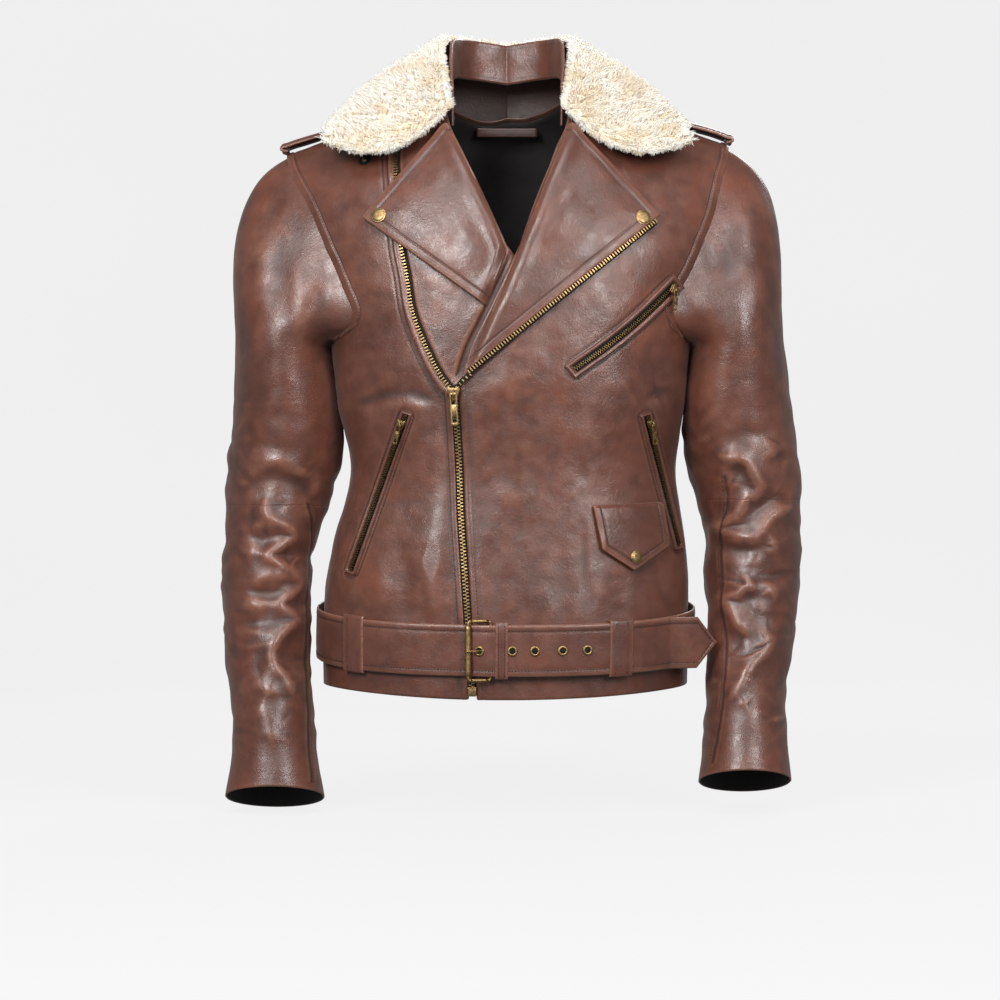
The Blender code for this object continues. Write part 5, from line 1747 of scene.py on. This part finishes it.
def make_flap():
    top, feet = np.array(FLAP_TOP, float), np.array(FLAP_FOOT, float)
    corners = [top[0], feet[0], feet[1], feet[2], top[1]]

    def height(x, z):
        gap, _ = distance_to(corners, x, z)
        hinge, _ = distance_to(top, x, z)
        flat = flat_spot(x, z)
        puff = 1.3 * ease(hinge / 14) * (0.35 + 0.65 * ease(gap / 10))
        lift = 5.0 + puff + band(gap, FLAP_STITCH, 0.9) + 0.5 * noise(flat, 20, 91) * ease(gap / 6)
        left_curl = 1.6 * ease((100 - x) / 14) * ease((282 - z) / 20)
        return lift + left_curl - 2.4 * ease((3.2 - hinge) / 3.2), gap

    u, v = np.meshgrid(np.linspace(0, 1, 90), np.linspace(0, 1, 80))
    u1, v1 = u[..., None], v[..., None]
    foot = np.where(u1 < 0.5, lerp(feet[0], feet[1], u1 * 2), lerp(feet[1], feet[2], u1 * 2 - 1))
    spot = lerp(foot, lerp(top[0], top[1], u1), v1)
    x, z = spot[..., 0], spot[..., 1]
    lift, gap = height(x, z)
    normals = front_normal(x, z)
    points = front(x, z, lift)
    piece = Piece()
    # Painted shade along the sunk stitch groove; the edges are worn paler.
    shell(piece, points, normals, 2.2, (0, 0), normals=normals, wear=0.9 * edge_wear(gap, 2.2),
          dark_and_shade=0.6 * np.exp(-((gap - FLAP_STITCH) / 0.8) ** 2))
    sides = [after - before for before, after in zip(corners, corners[1:])]
    inner = [np.array((-side[1], side[0])) / np.linalg.norm(side) for side in sides]
    rows = [corners[0] + inner[0] * FLAP_STITCH]
    for i in range(1, len(sides)):
        one, two = inner[i - 1], inner[i]
        rows.append(corners[i] + (one + two) * FLAP_STITCH / (1 + one @ two))
    rows.append(corners[-1] + inner[-1] * FLAP_STITCH)
    path = dense(np.array(rows), 200)[4:-4]
    lift, _ = height(path[:, 0], path[:, 1])
    stitches(piece, front(path[:, 0], path[:, 1], lift + STITCH_LIFT),
             front_normal(path[:, 0], path[:, 1]), 2)
    piece.make("coin_flap_leather", LEATHER_SET, "coin_flap_body", "coin_flap")
    x, z = COIN_SNAP
    lift, _ = height(np.array([x]), np.array([z]))
    cap = Piece()
    profile = [(0, 1.9), (2.6, 1.85), (4.2, 1.6), (5.2, 1.05), (5.7, 0.6), (6.2, 0.7), (6.5, 0.4),
               (6.4, 0.0), (6.0, -0.3), (0, -0.3)]
    cap.add(*placed(lathe(profile), front(x, z, lift[0] + 0.25), front_normal(x, z)))
    cap.make("coin_snap_dome", [BRASS], "coin_flap_body", "coin_snap_cap")


make_flap()


# Belt -----------------------------------------------------------------------------------


def strap_relief(points, up, width=BELT_WIDTH):
    edge = width / 2 - np.abs(up)
    soft = 0.5 * noise(points, 34, 101) + 0.2 * noise(points, 12, 102)
    return soft * ease(edge / 6) + band(edge, BELT_STITCH, 0.5) + 0.5 * ease(edge / 12), edge


def make_tail():
    u_line = np.linspace(0, 1, 620)
    middle = tail(u_line, np.full(len(u_line), 0.5))
    cut = int(np.argmin(np.abs(middle[:, 0] - (HEEL_BAR_X + 2))))
    v = np.linspace(0, 1, 34)
    for word, span in (("buckle_end", slice(0, cut + 1)), ("point_end", slice(cut, len(u_line)))):
        u, w = np.meshgrid(u_line[span], v, indexing="ij")
        base = tail(u, w)
        share = np.clip((1 - u) / POINT_SHARE, 0.04, 1)
        up = (w - 0.5) * BELT_WIDTH * share
        normals = grid_normals(base, base - BELT_MIDDLE)
        height, edge = strap_relief(base, up, BELT_WIDTH * share)
        tip = (1 - u) * 520
        height = height * ease(tip / 3)
        points = base + normals * (height * 0.8)[..., None]
        piece = Piece()
        # Painted shade along the sunk stitch grooves; the edges are worn paler.
        shell(piece, points, normals, BELT_THICK, (0, 0), normals=normals,
              wear=0.65 * edge_wear(np.minimum(edge, tip * 0.8), 1.6),
              dark_and_shade=0.5 * np.exp(-((edge - BELT_STITCH) / 0.8) ** 2))
        for sign in (-1, 1):
            inner = u_line[span]
            inner = inner[(inner > 0.004) & (inner < 0.935)]
            w0 = 0.5 + sign * (0.5 - BELT_STITCH / BELT_WIDTH)
            spots = tail(inner, np.full(len(inner), w0))
            far = tail(inner, np.full(len(inner), w0 + 0.02 * sign))
            ways = np.cross(np.gradient(spots, axis=0), far - spots) * sign
            ways = unit(ways * np.sign((ways * (spots - BELT_MIDDLE)).sum()))
            stitches(piece, spots + ways * 0.35, ways, 2)
        if word == "point_end":
            for sign in (-1, 1):
                t = np.linspace(0.935, 0.978, 20)
                inset = BELT_STITCH / BELT_WIDTH / np.clip((1 - t) / POINT_SHARE, 0.3, 1)
                w0 = 0.5 + sign * (0.5 - inset)
                w0 = np.where(sign > 0, np.maximum(w0, 0.5), np.minimum(w0, 0.5))
                spots = tail(t, w0)
                ways = np.broadcast_to(np.array((0.42, -0.9, 0.0)), spots.shape)
                stitches(piece, spots + ways * 0.6, ways, 2)
        made = piece.make(f"belt_{word}_leather", LEATHER_SET,
                          None if word == "buckle_end" else "root")
        if word == "buckle_end":
            start = belt(phi_at(-110.0, BELT_FRONT), 0, 6.0)
            end = belt(phi_at(-52.0, BELT_FRONT), 0, 6.0)
            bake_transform(made)
        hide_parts("belt_tail")


make_tail()


def make_strap():
    """The other end, from the heel bar round the wearer's left side and the back."""
    u, w = np.meshgrid(np.linspace(0, 1, 420), np.linspace(0, 1, 30), indexing="ij")
    first = float(phi_at(HEEL_BAR_X + 3.0, BELT_FRONT))
    phi = lerp(first, math.radians(268), u)
    up = (w - 0.5) * BELT_WIDTH
    base = belt(phi, up, BELT_LIFT + BELT_THICK)
    normals = body_normal(phi, belt_height(phi) + up)
    height, edge = strap_relief(base, up)
    points = base + normals * (height * 0.6)[..., None]
    piece = Piece()
    # Painted shade along the sunk stitch grooves; the edges are worn paler.
    shell(piece, points, normals, BELT_THICK, (0, 0), normals=normals, wear=0.6 * edge_wear(edge, 1.5),
          dark_and_shade=0.5 * np.exp(-((edge - BELT_STITCH) / 0.8) ** 2))
    phi = lerp(first, math.radians(268), np.linspace(0.01, 0.99, 500))
    for sign in (-1, 1):
        up = np.full(500, sign * (BELT_WIDTH / 2 - BELT_STITCH))
        spots = belt(phi, up, BELT_LIFT + BELT_THICK + 0.25)
        stitches(piece, spots, body_normal(phi, belt_height(phi) + up), 2)
    piece.make("belt_under_leather", LEATHER_SET, "root", "belt_strap")


def make_loop(name, x, width, outer):
    turn = np.linspace(0, math.tau, 120, endpoint=False)
    u = np.linspace(0, 1, 14)
    across = signed_power(np.cos(turn), 0.3)
    out = signed_power(np.sin(turn), 0.3)
    there = phi_at(x + (u - 0.5) * width, BELT_FRONT)
    middle, deep = (outer + 2.7) / 2, (outer - 2.7) / 2
    across, phi = np.meshgrid(across, there)
    out, _ = np.meshgrid(out, there)
    edge = np.minimum(u, 1 - u) * width
    puff = (0.35 * ease(edge / 2) - 0.4 * np.exp(-((edge - 2.6) / 0.6) ** 2))[:, None]
    points = belt(phi, across * (BELT_WIDTH / 2 + 3.2), middle + out * deep)
    centre = belt(phi, across * 0, np.full_like(across, middle))
    normals = grid_normals(points, points - centre, True)
    points = points + normals * (puff + 0.25 * noise(points, 9, 111))[..., None]
    piece = Piece()
    shell(piece, points, normals, 1.6, (0, 0), True, normals=normals,
          wear=np.broadcast_to(0.8 * edge_wear(edge, 1.3)[:, None], points.shape[:2]))
    for row in (0.24, 0.76):
        phi_row = phi_at(np.full(60, x + (row - 0.5) * width), BELT_FRONT)
        rise = np.linspace(-0.86, 0.86, 60) * (BELT_WIDTH / 2 + 3.2)
        spots = belt(phi_row, rise, np.full(60, outer + 0.15))
        stitches(piece, spots, body_normal(phi_row, belt_height(phi_row) + rise), 2)
    piece.make(f"{name}_leather", LEATHER_SET, "root", name)


make_strap()
for name, x, width, outer in (("belt_keeper", -5.4, 11, 13.4), ("belt_loop_left", 106, 20, 13.4),
                              ("belt_loop_right", -146, 18, 7.6)):
    make_loop(name, x, width, outer)


def make_eyelets():
    for number, x in enumerate(EYELET_X, 1):
        phi = phi_at(x, BELT_FRONT)
        top = float(tail_lift(x)) + BELT_THICK
        spot = belt(phi, 0, top + 0.75)
        ahead, behind = phi_at(x + 3, BELT_FRONT), phi_at(x - 3, BELT_FRONT)
        run = belt(ahead, 0, tail_lift(x + 3)) - belt(behind, 0, tail_lift(x - 3))
        normal = -np.cross(np.array((0, 0, 1.0)), run)
        profile = [(2.7, 0.55), (3.1, 0.95), (3.7, 1.1), (4.4, 0.9), (4.9, 0.45), (5.0, 0.0),
                   (3.4, -0.2), (3.3, -0.6), (2.7, -0.6)]
        piece = Piece()
        piece.add(*placed(lathe(profile, 36), spot, normal))
        # Painted shade: a disc of black zip-tape cloth plugs the eyelet's hole where its depth would be in
        # shade.
        hole_shadow = [(0, 0.02), (2.75, 0.02), (2.75, -0.5), (0, -0.5)]
        piece.add(*placed(lathe(hole_shadow, 24), spot, normal), slot=1)
        piece.make(f"eyelet_{number}_ring", [BRASS, TAPE], "tongue" if number == 1 else "root",
                   f"eyelet_{number}")


make_eyelets()


def make_buckle():
    heel_phi, roller_phi = phi_at(HEEL_BAR_X, BELT_FRONT), phi_at(ROLLER_X, BELT_FRONT)
    heel, high = belt(heel_phi, 0, 5.8), 28.5
    roller = belt(roller_phi, 0, 12.4)
    corners = [heel + (0, 0, high), roller + (0, 0, high), roller + (0, 0, -high), heel + (0, 0, -high)]
    path = []
    for i in range(4):
        before, here, after = corners[i - 1], corners[i], corners[(i + 1) % 4]
        into, away = unit(before - here), unit(after - here)
        for t in np.linspace(0, 1, 6):
            path.append(here + into * 3.2 * (1 - t) ** 2 + away * 3.2 * t ** 2)
        for t in np.linspace(0.12, 0.88, 8):
            path.append(lerp(here, after, t))
    out = unit(np.cross(roller - heel, np.array((0, 0, 1.0))))
    frame_piece = Piece()
    frame_piece.add(*wire(path, 1.75, 14, True, up=out))
    frame_piece.make("buckle_frame_bar", [BRASS], "buckle", "buckle_frame")
    barrel = Piece()
    tube = [(2.75, 24.0), (3.1, 23.6), (3.15, 20), (3.15, -20), (3.1, -23.6), (2.75, -24.0),
            (2.1, -23.8), (2.1, 23.8)]
    verts, faces = lathe(tube, 32)
    barrel.add(verts + roller, faces)
    barrel.make("buckle_roller_tube", [BRASS], "roller", "buckle_roller")
    out = out if out[1] < 0 else -out
    left = unit(roller - heel)
    bends = ((-0.6, -2.2), (2.2, -1.6), (6, 0.6), (10, 3.0), (15, 4.9), (20, 5.5), (25.5, 5.2))
    line = np.array([heel + (left * forward + out * rise) for forward, rise in bends])
    line = np.stack([np.interp(np.linspace(0, 6, 40), np.arange(7), line[:, i]) for i in range(3)], -1)
    for _ in range(3):
        line[1:-1] = (line[:-2] + 2 * line[1:-1] + line[2:]) / 4
    width = 1.5 - 0.4 * np.linspace(0, 1, 40)
    tongue = Piece()
    tongue.add(*wire(line, width, 12, squash=0.85))
    tongue.make("buckle_tongue_pin", [BRASS], "tongue", "buckle_tongue")


make_buckle()


# Trims ----------------------------------------------------------------------------------


def make_trims():
    stud = Piece()
    at, way = skin(-140.0, 640.0, 0.3), front_normal(-140.0, 640.0)
    ring = [(3.0, 1.3), (3.4, 1.7), (4.6, 1.7), (5.6, 1.1), (5.9, 0.2), (5.8, 0.0), (3.0, 0.0)]
    stud.add(*placed(lathe(ring), at, way), slot=1)
    post = [(0, 2.7), (1.6, 2.6), (2.5, 2.1), (2.9, 1.3), (2.9, 0.1), (0, 0.1)]
    stud.add(*placed(lathe(post), at, way))
    stud.make("collar_stud_cap", [BRASS, TAPE], "root", "collar_stud")
    under = Piece()
    profile = [(0, 1.7), (2.2, 1.7), (2.6, 1.4), (2.7, 1.0), (5, 0.9), (5.3, 0.5), (5.2, 0), (0, 0)]
    under.add(*placed(lathe(profile), front(*COIN_SNAP, 0.8), front_normal(*COIN_SNAP)))
    under.make("coin_snap_socket", [BRASS], "root", "coin_snap_stud")
    loop = Piece()
    half, half_height, middle = HANGER
    across, up = np.linspace(-half, half, 60), np.linspace(-half_height, half_height, 12)
    grid_z, grid_x = np.meshgrid(up, across)
    edge = np.minimum(half_height - np.abs(grid_z), half - np.abs(grid_x))
    dip = -0.25 * np.exp(-((edge - 1.6) / 0.4) ** 2) + 0.25 * ease(edge / 1.5)
    points = stack(grid_x, RIDGE_Y + 55 - 0.95 - dip, middle + grid_z)
    ahead = np.array((0, -1.0, 0))
    shell(loop, points, np.broadcast_to(ahead, points.shape), 1.9, wear=0.5 * edge_wear(edge, 0.8))
    for offset in (-2.3, 2.3):
        row = stack(np.linspace(-28, 28, 40), RIDGE_Y + 55 - 1.1, middle + offset)
        stitches(loop, row, np.broadcast_to(ahead, row.shape), 1, 2.6, 1.9, 0.28)
    loop.make("hanger_loop_leather", [LEATHER_INSIDE, THREAD], "root", "hanger_loop")
    for name in ("chest_bag", "hand_left_bag", "hand_right_bag", "coin_pocket_bag"):
        node = frame["nodes"][name]
        node.data.materials.clear()
        node.data.materials.append(POCKETING_CAD)


make_trims()


# Setting and light ----------------------------------------------------------------------


def paper_finish(name, colour):
    """Paper that shines by itself, so that the lamps leave no marks on it."""
    shader = Shader(name, "object")
    patch = shader.ramp(shader.noise(900, 1.0), 0.3, 0.7)
    tone = shader.mix(patch, colour, tuple(c * 0.99 for c in colour))
    shader.set(shader.main.inputs["Emission Color"], tone)
    return shader.finish((0.06, 0.06, 0.06, 1), 0.9, None, Emission_Strength=0.965,
                         Specular_IOR_Level=0.0)


def make_stage():
    """A pale floor that turns up into a wall well behind the jacket."""
    edge, radius, turn = 2400, 1600, np.linspace(0.1, math.pi / 2, 14)
    depth = np.concatenate([np.linspace(-6000, edge, 12), edge + radius * np.sin(turn),
                            np.full(4, 4000.0)])
    height = np.concatenate([np.zeros(12), radius * (1 - np.cos(turn)), np.linspace(2200, 5200, 4)])
    grid_depth, grid_x = np.meshgrid(depth, np.linspace(-7000, 7000, 3), indexing="ij")
    grid_height = np.broadcast_to(height[:, None], grid_depth.shape)
    verts = stack(grid_x, grid_depth, grid_height - 1.2)
    piece = Piece()
    piece.add(verts, grid_faces(*verts.shape[:2]))
    made = piece.make("studio_floor", [paper_finish("studio_paper", (0.87, 0.87, 0.87))])
    made.visible_glossy = False
    made.visible_diffuse = False


def lamp(name, place, target, size, power):
    light = bpy.data.lights.new(name, "AREA")
    light.shape = "RECTANGLE"
    light.size, light.size_y = size
    light.energy = power
    made = bpy.data.objects.new(name, light)
    made.location = place
    made.rotation_euler = (Vector(target) - Vector(place)).to_track_quat("-Z", "Y").to_euler()
    bpy.context.scene.collection.objects.link(made)


make_stage()
lamp("key_left", (-1.1, -2.5, 1.5), (0, 0, 0.42), (0.8, 1.1), 54)
lamp("key_right", (1.3, -2.4, 1.3), (0, 0, 0.42), (0.7, 1.1), 34)
lamp("top_front", (0.0, -1.5, 2.6), (0, 0, 0.4), (1.6, 0.8), 26)
lamp("behind", (0.9, 2.3, 1.9), (0, 0, 0.45), (1.4, 1.0), 26)

sky = bpy.data.worlds.new("studio_air")
sky.use_nodes = True
sky.node_tree.nodes["Background"].inputs["Color"].default_value = (1.0, 1.0, 1.0, 1)
sky.node_tree.nodes["Background"].inputs["Strength"].default_value = 0.22
bpy.context.scene.world = sky
bpy.context.scene.view_settings.view_transform = "Standard"

camera_data = bpy.data.cameras.new("camera")
camera_data.lens = 126
camera_data.sensor_width = 36
camera = bpy.data.objects.new("camera", camera_data)
camera.location = world((-7, -3500, 306))
camera.rotation_euler = (math.pi / 2, 0, 0)
bpy.context.scene.collection.objects.link(camera)
bpy.context.scene.camera = camera
